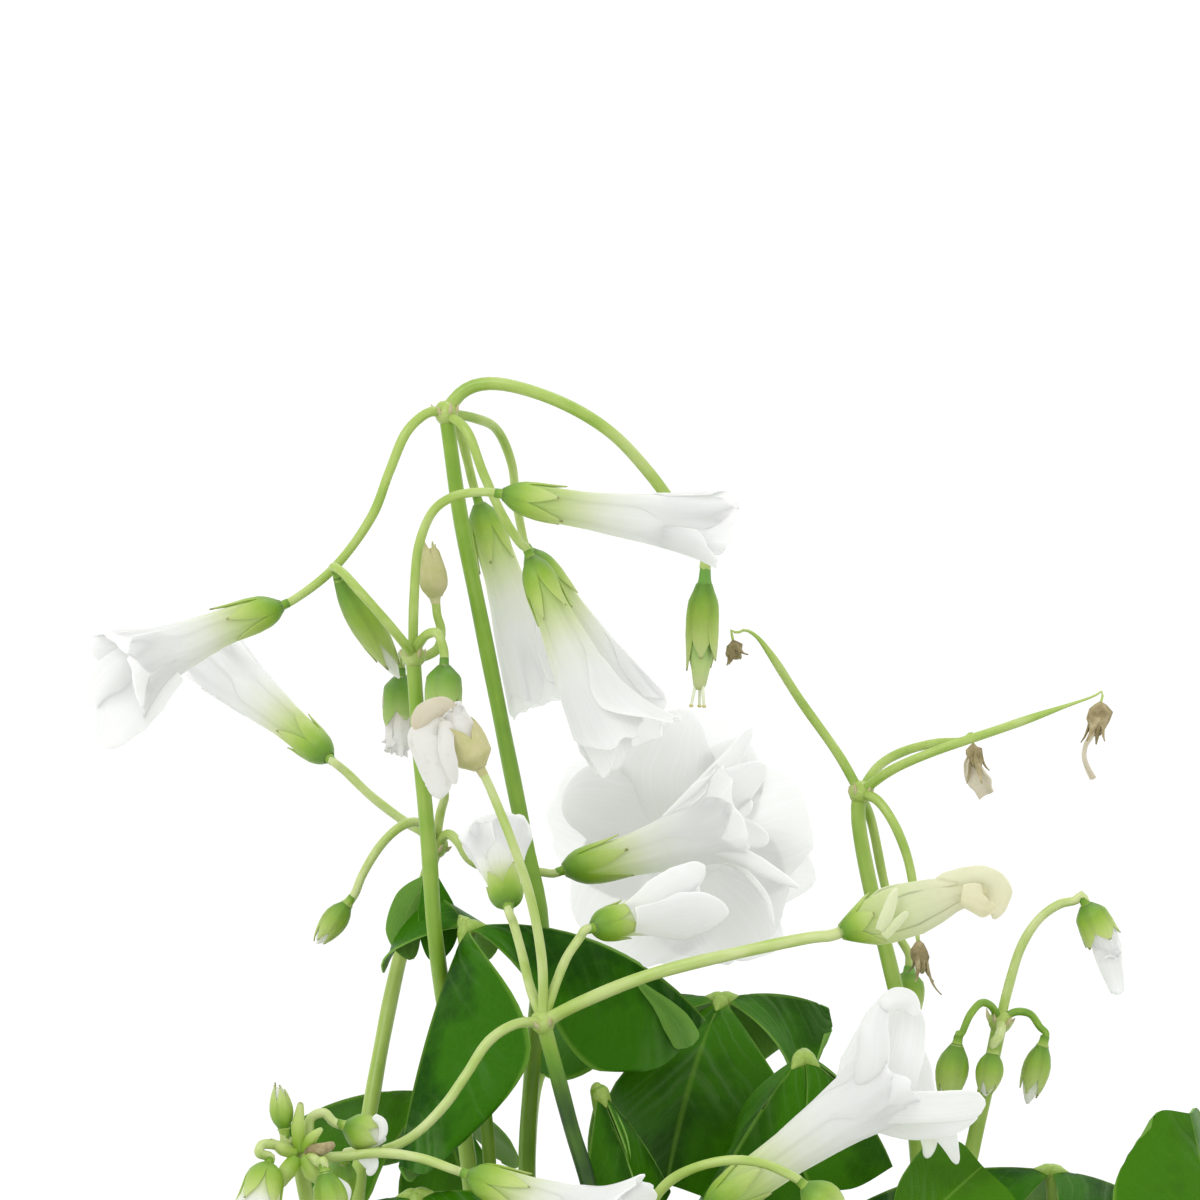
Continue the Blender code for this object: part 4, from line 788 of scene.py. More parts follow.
def calyx(shape, base, d, s, f, reach_mm, half, radius, rng, count=5, turn=0.0, lift=0.16, spread=0.25,
          mat="sepal", tone=0.0, sharp=1.6, jitter=0.05, shoulder=0.34):
    """Five narrow sepals that clasp what is inside them."""
    nu, nv = 16, 9
    us, vs = np.linspace(0, 1, nu), np.linspace(-1, 1, nv)
    for k in range(count):
        theta = math.radians(turn) + 2 * math.pi * k / count + rng.uniform(-jitter, jitter)
        size = 1 + rng.uniform(-jitter, jitter) * 2
        out = spread * (1 + rng.uniform(-0.6, 0.9))
        side = rng.uniform(-0.10, 0.10)
        P = np.empty((nu, nv, 3))
        for i, u in enumerate(us):
            a = u * reach_mm * size
            r = radius(a) + lift * min(1, u * 5) + out * u ** 4
            shp = 1.0 if u < shoulder else max(1 - ((u - shoulder) / (1 - shoulder)) ** sharp, 0.05)
            W = min(half * (0.5 + 0.5 * min(1, u / 0.2)), r * 0.86) * shp
            for j, w in enumerate(vs):
                t = theta + w * W / r + side * u * u
                rr = r + 0.02 * w * w + (0.06 * (1 - w * w) * min(1, 3 * u))
                P[i, j] = base + d * (a * MM) + (s * math.cos(t) + f * math.sin(t)) * (rr * MM)
        skin(shape, P, us, [0.5 + 0.5 * v for v in vs], 0.00014, (mat, mat, mat), tone, flip=True)


def receptacle(shape, base, d, s, f, r_top=1.7, mat="sepal", tone=0.0, neck=0.46, length=1.9):
    st = [(0.0, neck * 0.4), (0.1, neck), (0.6, neck * 1.04), (0.9, neck * 1.18), (0.9 + length * 0.22, neck * 1.25 + r_top * 0.16),
          (0.9 + length * 0.45, r_top * 0.70 + 0.1), (0.9 + length * 0.75, r_top * 0.92), (0.9 + length, r_top * 0.90),
          (0.9 + length * 1.1, r_top * 0.5)]
    turned(shape, base - d * (0.9 * MM), d, s, f, st, mat, 20, (5, 0.02), tone=tone)


def throat(shape, base, d, s, f, a_mm, rng, count=7, spread=0.7, size=1.0):
    """Stamens and styles in a flower's throat."""
    for k in range(count):
        t = 2 * math.pi * k / count + rng.uniform(-0.2, 0.2)
        r = spread * rng.uniform(0.7, 1.1)
        length = a_mm * rng.uniform(0.82, 1.0)
        side = s * math.cos(t) + f * math.sin(t)
        pts = [base + d * (length * x * MM) + side * (r * (0.25 + 0.75 * x) * MM) for x in (0.2, 0.45, 0.7, 1.0)]
        rod(shape, [Vector(p) for p in pts], [0.00009] * 4, "filament", 6)
        egg(shape, pts[-1], unit(d + side * 0.5), *axes_of(unit(d + side * 0.5)), 0.75 * size, 0.26 * size, "anther", 8, 5)


def flower(name, base, end, r_end, rng, look):
    """An open flower from the end of its pedicel to its mouth."""
    shape = Shape()
    base, end = vec(base), vec(end)
    L = np.linalg.norm(end - base) / MM
    d = unit(end - base)
    s, f = axes_of(d)
    L *= look.get("long", 1.0)
    r_end = look.get("mouth", r_end)
    T = look.get("tube", 0.52) * L
    k = look.get("girth", 1.0)
    RT = look.get("throat", 2.2) * k
    st = [(0.0, 0.55 * k), (0.04 * L, 1.05 * k), (0.09 * L, 1.42 * k), (0.16 * L, 1.62 * k), (0.26 * L, 1.70 * k),
          (T * 0.72, 1.82 * k), (T * 0.88, 0.5 * (1.9 * k + RT)), (T, RT)]
    B = (L - T) * look.get("lobe", 1.14)
    lift = max(min((r_end - RT) / B, 0.94), -0.2)
    psi0 = math.atan2(st[-1][1] - st[-2][1], st[-1][0] - st[-2][0])
    mean = look.get("flare", math.degrees(2 * math.asin(lift) - psi0))
    petals = []
    turn = look.get("turn", 90)
    for i in range(5):
        p = {"ang": turn + 72 * i, "flare": mean * rng.uniform(0.94, 1.06), "roll": rng.uniform(-6, 16),
             "wide": look.get("wide", 4.9) * rng.uniform(0.95, 1.05), "len": rng.uniform(0.96, 1.04),
             "curl": rng.uniform(0.0, 0.28), "ruffle": rng.uniform(0.08, 0.22), "waves": rng.uniform(0.7, 1.2),
             "power": look.get("power", 1.0)}
        for key, value in look.get("petals", {}).get(i, {}).items():
            p[key] = p[key] + value[0] if isinstance(value, tuple) else value
        petals.append(p)
    corolla(shape, base, d, s, f, st, B, petals, rng, overlap=look.get("overlap", 0.12), tone=look.get("tone", 0.0))
    calyx(shape, base, d, s, f, look.get("sepal", 6.2), look.get("sepal_half", 1.05), lambda a: profile_r(st, a), rng,
          turn=turn + 36, spread=look.get("spread", 0.12), lift=0.14, tone=look.get("calyx_tone", 0.0))
    receptacle(shape, base, d, s, f, 1.30 * k, length=1.7)
    throat(shape, base, d, s, f, T * look.get("stamen", 0.92), rng)
    bow(shape, base, d, s, f, L, look.get("side", 0.0), look.get("front", 0.0), 0.22, ord(name[7]) + 3.7 * ord(name[8]))
    for i, (pts, widths, more) in enumerate(LOBES.get(name, ())):
        lobe(shape, pts, widths, seed=i * 1.7, **more)
    return shape


def bud(shape, base, end, r, rng, sepal=0.8, white=0.0, tip_tone=0.0, tone=0.0, gap=0.0, spread=0.10):
    """A bud: five sepals about a twisted corolla whose tip may show."""
    base, end = vec(base), vec(end)
    L = np.linalg.norm(end - base) / MM
    d = unit(end - base)
    s, f = axes_of(d)
    core = [(0.0, 0.30 * r), (0.08 * L, 0.46 * r), (0.20 * L, 0.70 * r), (0.34 * L, 0.86 * r), (0.48 * L, 0.88 * r),
            (0.64 * L, 0.76 * r), (0.80 * L, 0.54 * r), (0.92 * L, 0.30 * r), (1.0 * L, 0.07 * r)]
    turned(shape, base, d, s, f, core, "petal_bud" if white else "sepal", 20, (5, 0.06), 3.0, tone)
    calyx(shape, base, d, s, f, L * sepal, 1.0 * r * (1 - gap), lambda a: profile_r(core, a), rng, lift=0.09, spread=spread,
          tone=tone, sharp=2.0, shoulder=0.36, turn=rng.uniform(0, 72))
    receptacle(shape, base, d, s, f, 0.50 * r, length=0.12 * L, tone=tone)


def pod(shape, base, end, r, rng, styles=True, tone=0.0, mat="pod", sepal=0.80, cover="sepal"):
    """A ripening pod with a tapered neck, clasped by its sepals."""
    base, end = vec(base), vec(end)
    L = np.linalg.norm(end - base) / MM
    d = unit(end - base)
    s, f = axes_of(d)
    core = [(0.0, 0.36 * r), (0.10 * L, 0.44 * r), (0.19 * L, 0.66 * r), (0.28 * L, 0.93 * r), (0.40 * L, 1.0 * r),
            (0.55 * L, 0.97 * r), (0.70 * L, 0.80 * r), (0.85 * L, 0.60 * r), (0.96 * L, 0.44 * r), (1.0 * L, 0.22 * r)]
    turned(shape, base, d, s, f, core, mat, 25, (5, 0.08), 0.0, tone)
    at_neck = base + d * (0.13 * L * MM)
    calyx(shape, at_neck, d, s, f, L * (sepal - 0.13), 0.86 * r, lambda a: profile_r(core, a + 0.13 * L), rng, lift=0.08,
          spread=0.30, sharp=2.0, shoulder=0.5, turn=rng.uniform(0, 72), tone=tone if cover != "sepal" else 0.0, mat=cover)
    if styles:
        for k in range(3):
            t = math.radians(40 + 120 * k)
            side = s * math.cos(t) + f * math.sin(t)
            a = base + d * (0.93 * L * MM) + side * (0.25 * r * MM)
            b = base + d * ((L + 1.6) * MM) + side * (0.52 * r * MM)
            rod(shape, [Vector(a), Vector((a + b) / 2), Vector(b)], [0.00016] * 3, "filament", 6)
            egg(shape, b, d, s, f, 0.36, 0.24, "anther", 8, 5)


def drape(shape, pts, widths, across, mat, rough=0.35, scale=420, seed=0.0, thick=0.0002, us=(0.5, 1.0), cup=0.5):
    """A limp strip of petal along a route; across is the direction of its width."""
    path = smooth([Vector(p) for p in pts], 30)
    nv = 11
    P = np.empty((30, nv, 3))
    across = unit(vec(across))
    for i, p in enumerate(path):
        t = i / 29
        w = float(np.interp(t, np.linspace(0, 1, len(widths)), widths)) * MM
        along = unit(vec(path[min(i + 1, 29)]) - vec(path[max(i - 1, 0)]))
        side = unit(across - along * across.dot(along))
        out = np.cross(along, side)
        for j in range(nv):
            v = -1 + 2 * j / (nv - 1)
            q = vec(p) + side * (v * w) + out * (cup * w * (v * v - 0.4))
            P[i, j] = q + wander3(q, scale, seed) * (rough * MM * min(1.0, t * 3))
    skin(shape, P, np.linspace(us[0], us[1], 30), np.linspace(0, 1, nv), thick, (mat,) * 3)


def lobe(shape, pts, widths, mat="petal", tilt=0.0, cup=0.30, rough=0.12, seed=0.0, us=(0.6, 1.0), thick=0.0002,
         blunt=0.16, ruffle=0.10, scale=300):
    """A lobe of a petal along a route drawn on the front elevation; widths are
    half widths on the drawing, tilt turns it about its route."""
    rows, nv = 30, 13
    path = smooth([at(*p) for p in pts], rows)
    P = np.empty((rows, nv, 3))
    turn = math.radians(tilt)
    for i, p in enumerate(path):
        t = i / (rows - 1)
        w = float(np.interp(t, np.linspace(0, 1, len(widths)), widths)) * UNIT
        if t > 1 - blunt:
            w *= math.sqrt(max(0.0, 1 - 0.97 * ((t - 1 + blunt) / blunt) ** 2))
        along = unit(vec(path[min(i + 1, rows - 1)]) - vec(path[max(i - 1, 0)]))
        side = unit(np.cross(along, np.array((0.0, -1.0, 0.0))))
        out = np.cross(along, side)
        side, out = side * math.cos(turn) + out * math.sin(turn), out * math.cos(turn) - side * math.sin(turn)
        for j in range(nv):
            v = -1 + 2 * j / (nv - 1)
            q = vec(p) + side * (v * w) + out * (cup * w * (v * v - 0.4))
            q = q + out * (ruffle * w * abs(v) ** 1.5 * math.sin(6.5 * t + 2.2 * v + seed))
            P[i, j] = q + wander3(q, scale, seed) * (rough * MM * min(1.0, t * 3))
    skin(shape, P, np.linspace(us[0], us[1], rows), np.linspace(0, 1, nv), thick, (mat,) * 3)


def spent(shape, base, end, rng, calyx_tone=0.2, drop=0.0, sepal=4.6, mat="wither", strips=4, wide=2.6, crumple=0.42,
          swell=1.6, straw=False, flare=12):
    """A calyx with a withered corolla hanging from it."""
    base, end = vec(base), vec(end)
    L = np.linalg.norm(end - base) / MM
    d = unit(end - base)
    s, f = axes_of(d)
    core = [(0.0, 0.6), (0.5, 1.0), (1.1, swell * 0.92), (2.4, swell), (sepal, swell * 0.92), (sepal * 1.25, swell * 0.8)]
    petals = [{"ang": 90 + 72 * i, "flare": flare * rng.uniform(-0.4, 1.3), "roll": rng.uniform(-10, 30), "wide": wide * rng.uniform(0.7, 1.1),
               "len": rng.uniform(0.72, 1.06), "curl": rng.uniform(-0.3, 0.8), "ruffle": rng.uniform(0.2, 0.5), "waves": rng.uniform(0.8, 1.4),
               "round": 0.35, "taper": 0.65, "twist": rng.uniform(-25, 35)} for i in range(strips)]
    corolla(shape, base, d, s, f, core, max(L - core[-1][0], 1.0), petals, rng, crumple=crumple, mats=(mat,) * 3, nu=(9, 20), nv=11,
            thick=0.00018, scale=330)
    calyx(shape, base, d, s, f, sepal, 1.35, lambda a: profile_r(core, a), rng, lift=0.14, spread=0.3,
          mat="straw" if straw else "sepal", tone=calyx_tone, sharp=2.2, shoulder=0.45)
    receptacle(shape, base, d, s, f, 1.45, tone=calyx_tone, mat="straw" if straw else "sepal")


def dry(shape, base, end, r, rng, name=""):
    """A shrivelled husk, with what is left of its petals."""
    base, end = vec(base), vec(end)
    L = np.linalg.norm(end - base) / MM
    d = unit(end - base)
    s, f = axes_of(d)
    H = {"dry_head_e1": 1.0, "dry_head_e2": 0.48, "dry_head_e3": 0.46}.get(name, 0.7) * L
    r = {"dry_head_e1": 0.85, "dry_head_e2": 0.85, "dry_head_e3": 0.95, "dry_head_e4": 0.8}.get(name, 0.8)
    st = [(0.0, 0.12), (0.10 * H, 0.5 * r), (0.28 * H, 0.95 * r), (0.5 * H, 1.0 * r), (0.72 * H, 0.85 * r), (0.9 * H, 0.6 * r), (H, 0.15 * r)]
    seed = rng.uniform(0, 50)
    turned(shape, base, d, s, f, st, "dry", 20, (5, 0.14), 1.2, rough=0.5 * r, seed=seed, scale=800)
    reach_mm = {"dry_head_e1": 0.75, "dry_head_e3": 0.62}.get(name, 0.9) * H
    calyx(shape, base + d * (0.35 * H * MM), d, s, f, reach_mm, 0.36 * r, lambda a: 0.78 * r, rng, count=4, lift=0.04, spread=0.7 * r,
          mat="dry", jitter=0.25, turn=rng.uniform(0, 90))
    if name == "dry_head_e2":
        a = base + d * (0.40 * H * MM)
        drape(shape, [a, a + d * 0.0016 - s * 0.0004, base + d * (0.85 * L * MM) + s * 0.0003, end + s * 0.0007 + d * 0.0002],
              (0.5, 1.0, 1.25, 0.8), s * 0.9 + f * 0.4, "wither_dry", 0.42, 620, seed)
        drape(shape, [a, a + d * 0.0012 - s * 0.0006, base + d * (0.62 * L * MM) - s * 0.0012], (0.4, 0.6, 0.2), s - f * 0.6,
              "wither_dry", 0.25, 700, seed + 3)
    if name == "dry_head_e3":
        a = base + d * (0.55 * H * MM)
        drape(shape, [a, base + d * (H * MM) - s * 0.0003, base + d * (0.66 * L * MM) - s * 0.0007, base + d * (0.86 * L * MM) - s * 0.0002,
                      end + d * 0.0001 + s * 0.0008],
              (0.5, 0.42, 0.30, 0.34, 0.5), f + s * 0.3, "wither_dry", 0.22, 600, seed, cup=0.9)


def bracts(shape, hub, d, rng, count=6, size=1.3, tone=0.0):
    """The little pointed scales where an umbel's stalks begin."""
    s, f = axes_of(d)
    for k in range(count):
        t = 2 * math.pi * k / count + rng.uniform(-0.3, 0.3)
        side = s * math.cos(t) + f * math.sin(t)
        a = hub - d * (0.35 * MM) + side * (0.75 * MM)
        b = a + unit(d + side * rng.uniform(0.25, 0.9)) * (size * rng.uniform(0.8, 1.25) * MM)
        rod(shape, [Vector(a), Vector(a * 0.5 + b * 0.5 + side * 0.0001), Vector(b)], [0.00030, 0.00024, 0.00005], "bract", 6, tone)


# ---------------------------------------------------------------- materials
MATS = {}


class Nodes:
    """A material's nodes, made one call at a time."""

    def __init__(self, name):
        self.mat = bpy.data.materials.new(name)
        self.mat.use_nodes = True
        self.tree = self.mat.node_tree
        self.tree.nodes.clear()
        self.bsdf = self.tree.nodes.new("ShaderNodeBsdfPrincipled")
        out = self.tree.nodes.new("ShaderNodeOutputMaterial")
        self.tree.links.new(self.bsdf.outputs[0], out.inputs["Surface"])
        MATS[name] = self.mat

    def put(self, socket, value):
        if isinstance(value, bpy.types.NodeSocket):
            self.tree.links.new(value, socket)
        else:
            socket.default_value = value

    def set(self, **values):
        for key, value in values.items():
            self.put(self.bsdf.inputs[key.replace("_", " ")], value)

    def math(self, op, a, b=0.0, c=None, clamp=False):
        n = self.tree.nodes.new("ShaderNodeMath")
        n.operation, n.use_clamp = op, clamp
        self.put(n.inputs[0], a)
        self.put(n.inputs[1], b)
        if c is not None:
            self.put(n.inputs[2], c)
        return n.outputs[0]

    def ramp(self, fac, stops, kind="LINEAR"):
        n = self.tree.nodes.new("ShaderNodeValToRGB")
        n.color_ramp.interpolation = kind
        e = n.color_ramp.elements
        while len(e) < len(stops):
            e.new(1.0)
        for x, (p, c) in zip(e, stops):
            x.position = p
            x.color = (*c, 1) if hasattr(c, "__len__") else (c, c, c, 1)
        self.put(n.inputs[0], fac)
        return n.outputs[0]

    def mix(self, fac, a, b, mode="MIX"):
        n = self.tree.nodes.new("ShaderNodeMix")
        n.data_type, n.blend_type = "RGBA", mode
        self.put(n.inputs[0], fac)
        for socket, value in ((n.inputs[6], a), (n.inputs[7], b)):
            self.put(socket, (*value, 1) if isinstance(value, tuple) and len(value) == 3 else value)
        return n.outputs[2]

    def place(self):
        return self.tree.nodes.new("ShaderNodeTexCoord").outputs["Object"]

    def noise(self, scale, detail=3.0, rough=0.55, where=None, distortion=0.0):
        n = self.tree.nodes.new("ShaderNodeTexNoise")
        self.put(n.inputs["Vector"], where if where is not None else self.place())
        n.inputs["Scale"].default_value = scale
        n.inputs["Detail"].default_value = detail
        n.inputs["Roughness"].default_value = rough
        n.inputs["Distortion"].default_value = distortion
        return n.outputs["Fac"]

    def voronoi(self, scale, feature="F1", where=None):
        n = self.tree.nodes.new("ShaderNodeTexVoronoi")
        n.feature = feature
        self.put(n.inputs["Vector"], where if where is not None else self.place())
        n.inputs["Scale"].default_value = scale
        return n.outputs["Distance"]

    def grow(self):
        n = self.tree.nodes.new("ShaderNodeUVMap")
        n.uv_map = "grow"
        x = self.tree.nodes.new("ShaderNodeSeparateXYZ")
        self.tree.links.new(n.outputs[0], x.inputs[0])
        return x.outputs[0], x.outputs[1]

    def join(self, x, y, z=0.0):
        n = self.tree.nodes.new("ShaderNodeCombineXYZ")
        for socket, value in zip(n.inputs, (x, y, z)):
            self.put(socket, value)
        return n.outputs[0]

    def tone(self):
        n = self.tree.nodes.new("ShaderNodeAttribute")
        n.attribute_name = "tone"
        return n.outputs["Fac"]

    def bump(self, height, strength, distance):
        n = self.tree.nodes.new("ShaderNodeBump")
        n.inputs["Strength"].default_value = strength
        n.inputs["Distance"].default_value = distance
        self.put(n.inputs["Height"], height)
        self.put(self.bsdf.inputs["Normal"], n.outputs[0])


def petal_material(name, ramp, freckle=0.0, scatter=0.30, painted_glow=0.215):
    m = Nodes(name)
    u, v = m.grow()
    warp = m.noise(260, 2)
    v2 = m.math("ADD", v, m.math("MULTIPLY", warp, 0.05))
    streak = m.noise(1.0, 2, 0.5, m.join(m.math("MULTIPLY", u, 1.6), m.math("MULTIPLY", v2, 34)))
    fine = m.noise(1.0, 3, 0.6, m.join(m.math("MULTIPLY", u, 7), m.math("MULTIPLY", v2, 90)))
    at_u = m.math("ADD", u, m.math("MULTIPLY", m.math("SUBTRACT", streak, 0.5), 0.12))
    base = m.ramp(at_u, ramp)
    vein = m.ramp(streak, [(0.42, 1.0), (0.62, 0.0)])
    base = m.mix(m.math("MULTIPLY", vein, 0.16), base, (0.70, 0.76, 0.62), "MIX")
    base = m.mix(m.math("MULTIPLY", fine, 0.07), base, (0.78, 0.80, 0.76), "MULTIPLY")
    if freckle:
        blot = m.ramp(m.noise(900, 3, 0.6), [(0.55, 0.0), (0.72, 1.0)])
        base = m.mix(m.math("MULTIPLY", blot, freckle), base, (0.52, 0.44, 0.26))
    # the petals emit their own colour as a painted glow that lifts their shade, standing in for light passing through
    # the petals; the base colour is darkened to match
    m.set(Base_Color=m.mix(1.0, base, (0.61, 0.61, 0.62), "MULTIPLY"), Emission_Color=base, Emission_Strength=painted_glow,
          Roughness=0.56, Subsurface_Weight=scatter, Subsurface_Scale=0.0024,
          Subsurface_Radius=(1.0, 1.0, 1.0), Specular_IOR_Level=0.2)
    height = m.math("ADD", m.math("MULTIPLY", streak, 0.7), m.math("MULTIPLY", fine, 0.5))
    m.bump(height, 0.18, 0.00010)
    return m


def materials():
    petal_material("petal", [(0.0, (0.22, 0.42, 0.04)), (0.14, (0.34, 0.53, 0.08)), (0.25, (0.52, 0.66, 0.20)),
                             (0.35, (0.70, 0.78, 0.45)), (0.46, (0.83, 0.86, 0.73)), (0.62, (0.87, 0.88, 0.85)),
                             (1.0, (0.90, 0.90, 0.89))], 0.0, 0.75)
    petal_material("petal_bud", [(0.0, (0.30, 0.48, 0.10)), (0.55, (0.55, 0.68, 0.28)), (0.75, (0.80, 0.84, 0.68)),
                                 (1.0, (0.86, 0.87, 0.78))])
    petal_material("wither", [(0.0, (0.45, 0.42, 0.20)), (0.30, (0.62, 0.55, 0.38)), (0.48, (0.74, 0.71, 0.60)),
                              (0.70, (0.84, 0.83, 0.78)), (1.0, (0.84, 0.83, 0.79))], 0.25, 0.2)
    petal_material("wither_dry", [(0.0, (0.44, 0.35, 0.20)), (0.55, (0.58, 0.49, 0.31)), (0.8, (0.70, 0.63, 0.46)),
                                  (1.0, (0.66, 0.57, 0.40))], 0.35, 0.15)
    petal_material("wither_cream", [(0.0, (0.34, 0.52, 0.08)), (0.22, (0.55, 0.68, 0.22)), (0.5, (0.72, 0.78, 0.44)),
                                    (0.75, (0.80, 0.80, 0.52)), (1.0, (0.80, 0.74, 0.42))], 0.10, 0.35)

    m = Nodes("sepal")
    u, v = m.grow()
    tone = m.tone()
    n = m.noise(520, 3, 0.6)
    stripe = m.noise(1.0, 2, 0.5, m.join(m.math("MULTIPLY", u, 2.0), m.math("MULTIPLY", v, 26)))
    at_u = m.math("ADD", u, m.math("MULTIPLY", m.math("SUBTRACT", n, 0.5), 0.22))
    light = m.ramp(at_u, [(0.0, (0.10, 0.245, 0.010)), (0.18, (0.17, 0.335, 0.016)), (0.42, (0.30, 0.46, 0.045)),
                          (0.72, (0.46, 0.58, 0.15)), (0.95, (0.52, 0.60, 0.24)), (1.02, (0.22, 0.20, 0.07))])
    dark = m.ramp(at_u, [(0.0, (0.05, 0.17, 0.015)), (0.4, (0.09, 0.25, 0.03)), (0.85, (0.20, 0.36, 0.08)),
                         (0.97, (0.42, 0.48, 0.26)), (1.0, (0.40, 0.34, 0.20))])
    base = m.mix(tone, light, dark)
    base = m.mix(m.math("MULTIPLY", stripe, 0.28), base, (0.10, 0.24, 0.012), "MIX")
    m.set(Base_Color=base, Roughness=0.42, Subsurface_Weight=0.15, Subsurface_Scale=0.0008,
          Subsurface_Radius=(0.8, 1.0, 0.4), Specular_IOR_Level=0.45)
    m.bump(m.math("ADD", stripe, m.math("MULTIPLY", n, 0.6)), 0.35, 0.00012)

    m = Nodes("stem")
    u, v = m.grow()
    tone = m.tone()
    n = m.noise(260, 2, 0.5)
    long = m.noise(1.0, 1, 0.4, m.join(m.math("MULTIPLY", u, 12), m.math("MULTIPLY", v, 7)))
    where = m.math("ADD", tone, m.math("MULTIPLY", m.math("SUBTRACT", n, 0.5), 0.34))
    where = m.math("ADD", where, m.math("MULTIPLY", m.math("SUBTRACT", long, 0.5), 0.22))
    base = m.ramp(where, [(0.0, (0.54, 0.62, 0.27)), (0.22, (0.37, 0.50, 0.11)), (0.45, (0.215, 0.375, 0.032)),
                          (0.65, (0.12, 0.27, 0.014)), (1.0, (0.014, 0.052, 0.006))])
    m.set(Base_Color=base, Roughness=0.38, Subsurface_Weight=0.12, Subsurface_Scale=0.0006,
          Subsurface_Radius=(0.8, 1.0, 0.4), Specular_IOR_Level=0.4, Coat_Weight=0.10, Coat_Roughness=0.25)
    m.bump(m.math("ADD", m.math("MULTIPLY", long, 0.7), m.math("MULTIPLY", n, 0.5)), 0.10, 0.00005)

    def leaf(name, dark, mid, light, rib, rough, coat, relief):
        m = Nodes(name)
        u, v = m.grow()
        tone = m.tone()
        w = m.math("ABSOLUTE", m.math("MULTIPLY_ADD", v, 2.0, -1.0))
        patch = m.noise(120, 3, 0.6)
        fine = m.noise(1500, 2, 0.6)
        # side veins leave the midrib at a slant and fork towards the edge
        bent = m.math("ADD", m.math("MULTIPLY", u, 11.0), m.math("MULTIPLY", w, -4.6))
        bent = m.math("ADD", bent, m.math("MULTIPLY", m.noise(170, 2, 0.5), 1.3))
        t = m.math("ABSOLUTE", m.math("SUBTRACT", m.math("FRACT", bent), 0.5))
        vein = m.ramp(t, [(0.0, 1.0), (0.09, 0.25), (0.2, 0.0)])
        net = m.ramp(m.voronoi(900, "DISTANCE_TO_EDGE"), [(0.0, 1.0), (0.10, 0.0)])
        midrib = m.ramp(m.math("DIVIDE", w, m.math("MULTIPLY_ADD", u, -0.045, 0.06)), [(0.0, 1.0), (0.45, 0.75), (1.0, 0.0)])
        rim = m.ramp(w, [(0.955, 0.0), (0.985, 1.0)])
        root = m.ramp(u, [(0.0, 1.0), (0.06, 0.0)])
        zone = m.math("ADD", m.math("MULTIPLY", patch, 1.1), m.math("MULTIPLY", w, 0.42))
        zone = m.math("ADD", zone, m.math("MULTIPLY", m.noise(38, 2, 0.5), 0.5))
        base = m.mix(m.ramp(zone, [(0.80, 0.0), (1.34, 1.0)]), dark, mid)
        base = m.mix(m.ramp(zone, [(1.10, 0.0), (1.50, 0.55)]), base, light)
        base = m.mix(m.math("MULTIPLY", tone, 0.85), base, light)
        # painted sheen: pale grey-green streaks along the side veins, a glossy highlight painted into the base colour
        painted_sheen = m.ramp(m.noise(1.0, 2, 0.5, m.join(m.math("ADD", bent, m.math("MULTIPLY", patch, 2.0)), m.math("MULTIPLY", u, 1.5))),
                       [(0.52, 0.0), (0.70, 1.0)])
        painted_sheen = m.math("MULTIPLY", painted_sheen, m.ramp(m.noise(48, 1, 0.5), [(0.46, 0.0), (0.60, 1.0)]))
        base = m.mix(m.math("MULTIPLY", painted_sheen, 0.34), base, (0.17, 0.27, 0.11))
        base = m.mix(m.math("MULTIPLY", fine, 0.22), base, mid, "MIX")
        base = m.mix(m.math("MULTIPLY", vein, 0.05), base, light)
        base = m.mix(m.math("MULTIPLY", net, 0.05), base, light)
        base = m.mix(m.math("MULTIPLY", rim, 0.32), base, rib)
        base = m.mix(m.math("MULTIPLY", midrib, 0.30), base, rib)
        base = m.mix(m.math("MULTIPLY", root, 0.35), base, rib)
        m.set(Base_Color=base, Roughness=m.ramp(patch, [(0.0, rough - 0.07), (1.0, rough + 0.09)]),
              Specular_IOR_Level=0.05, Coat_Weight=coat, Coat_Roughness=0.16, Subsurface_Weight=0.08,
              Subsurface_Scale=0.0005, Subsurface_Radius=(0.5, 1.0, 0.2))
        high = m.math("ADD", m.math("MULTIPLY", vein, -0.22), m.math("MULTIPLY", fine, 0.25))
        high = m.math("ADD", high, m.math("MULTIPLY", patch, 0.8))
        high = m.math("ADD", high, m.math("MULTIPLY", net, -0.15))
        m.bump(high, relief, 0.00022)

    leaf("leaf_top", (0.007, 0.050, 0.0007), (0.029, 0.132, 0.0014), (0.090, 0.240, 0.010), (0.24, 0.42, 0.06), 0.34, 0.015, 0.40)
    leaf("leaf_under", (0.085, 0.215, 0.030), (0.13, 0.28, 0.045), (0.20, 0.36, 0.075), (0.30, 0.46, 0.12), 0.55, 0.0, 0.30)
    leaf("leaf_edge", (0.10, 0.28, 0.03), (0.16, 0.36, 0.05), (0.24, 0.44, 0.09), (0.30, 0.50, 0.12), 0.5, 0.0, 0.1)

    m = Nodes("pod")
    u, v = m.grow()
    n = m.noise(700, 3, 0.6)
    base = m.ramp(m.math("ADD", u, m.math("MULTIPLY", m.math("SUBTRACT", n, 0.5), 0.2)),
                  [(0.0, (0.12, 0.30, 0.03)), (0.5, (0.17, 0.38, 0.05)), (0.8, (0.42, 0.56, 0.18)), (1.0, (0.52, 0.58, 0.28))])
    base = m.mix(m.tone(), base, m.ramp(n, [(0.3, (0.52, 0.50, 0.24)), (0.7, (0.62, 0.60, 0.34))]))
    m.set(Base_Color=base, Roughness=0.45, Specular_IOR_Level=0.45, Subsurface_Weight=0.1, Subsurface_Scale=0.0006)
    m.bump(n, 0.3, 0.00012)

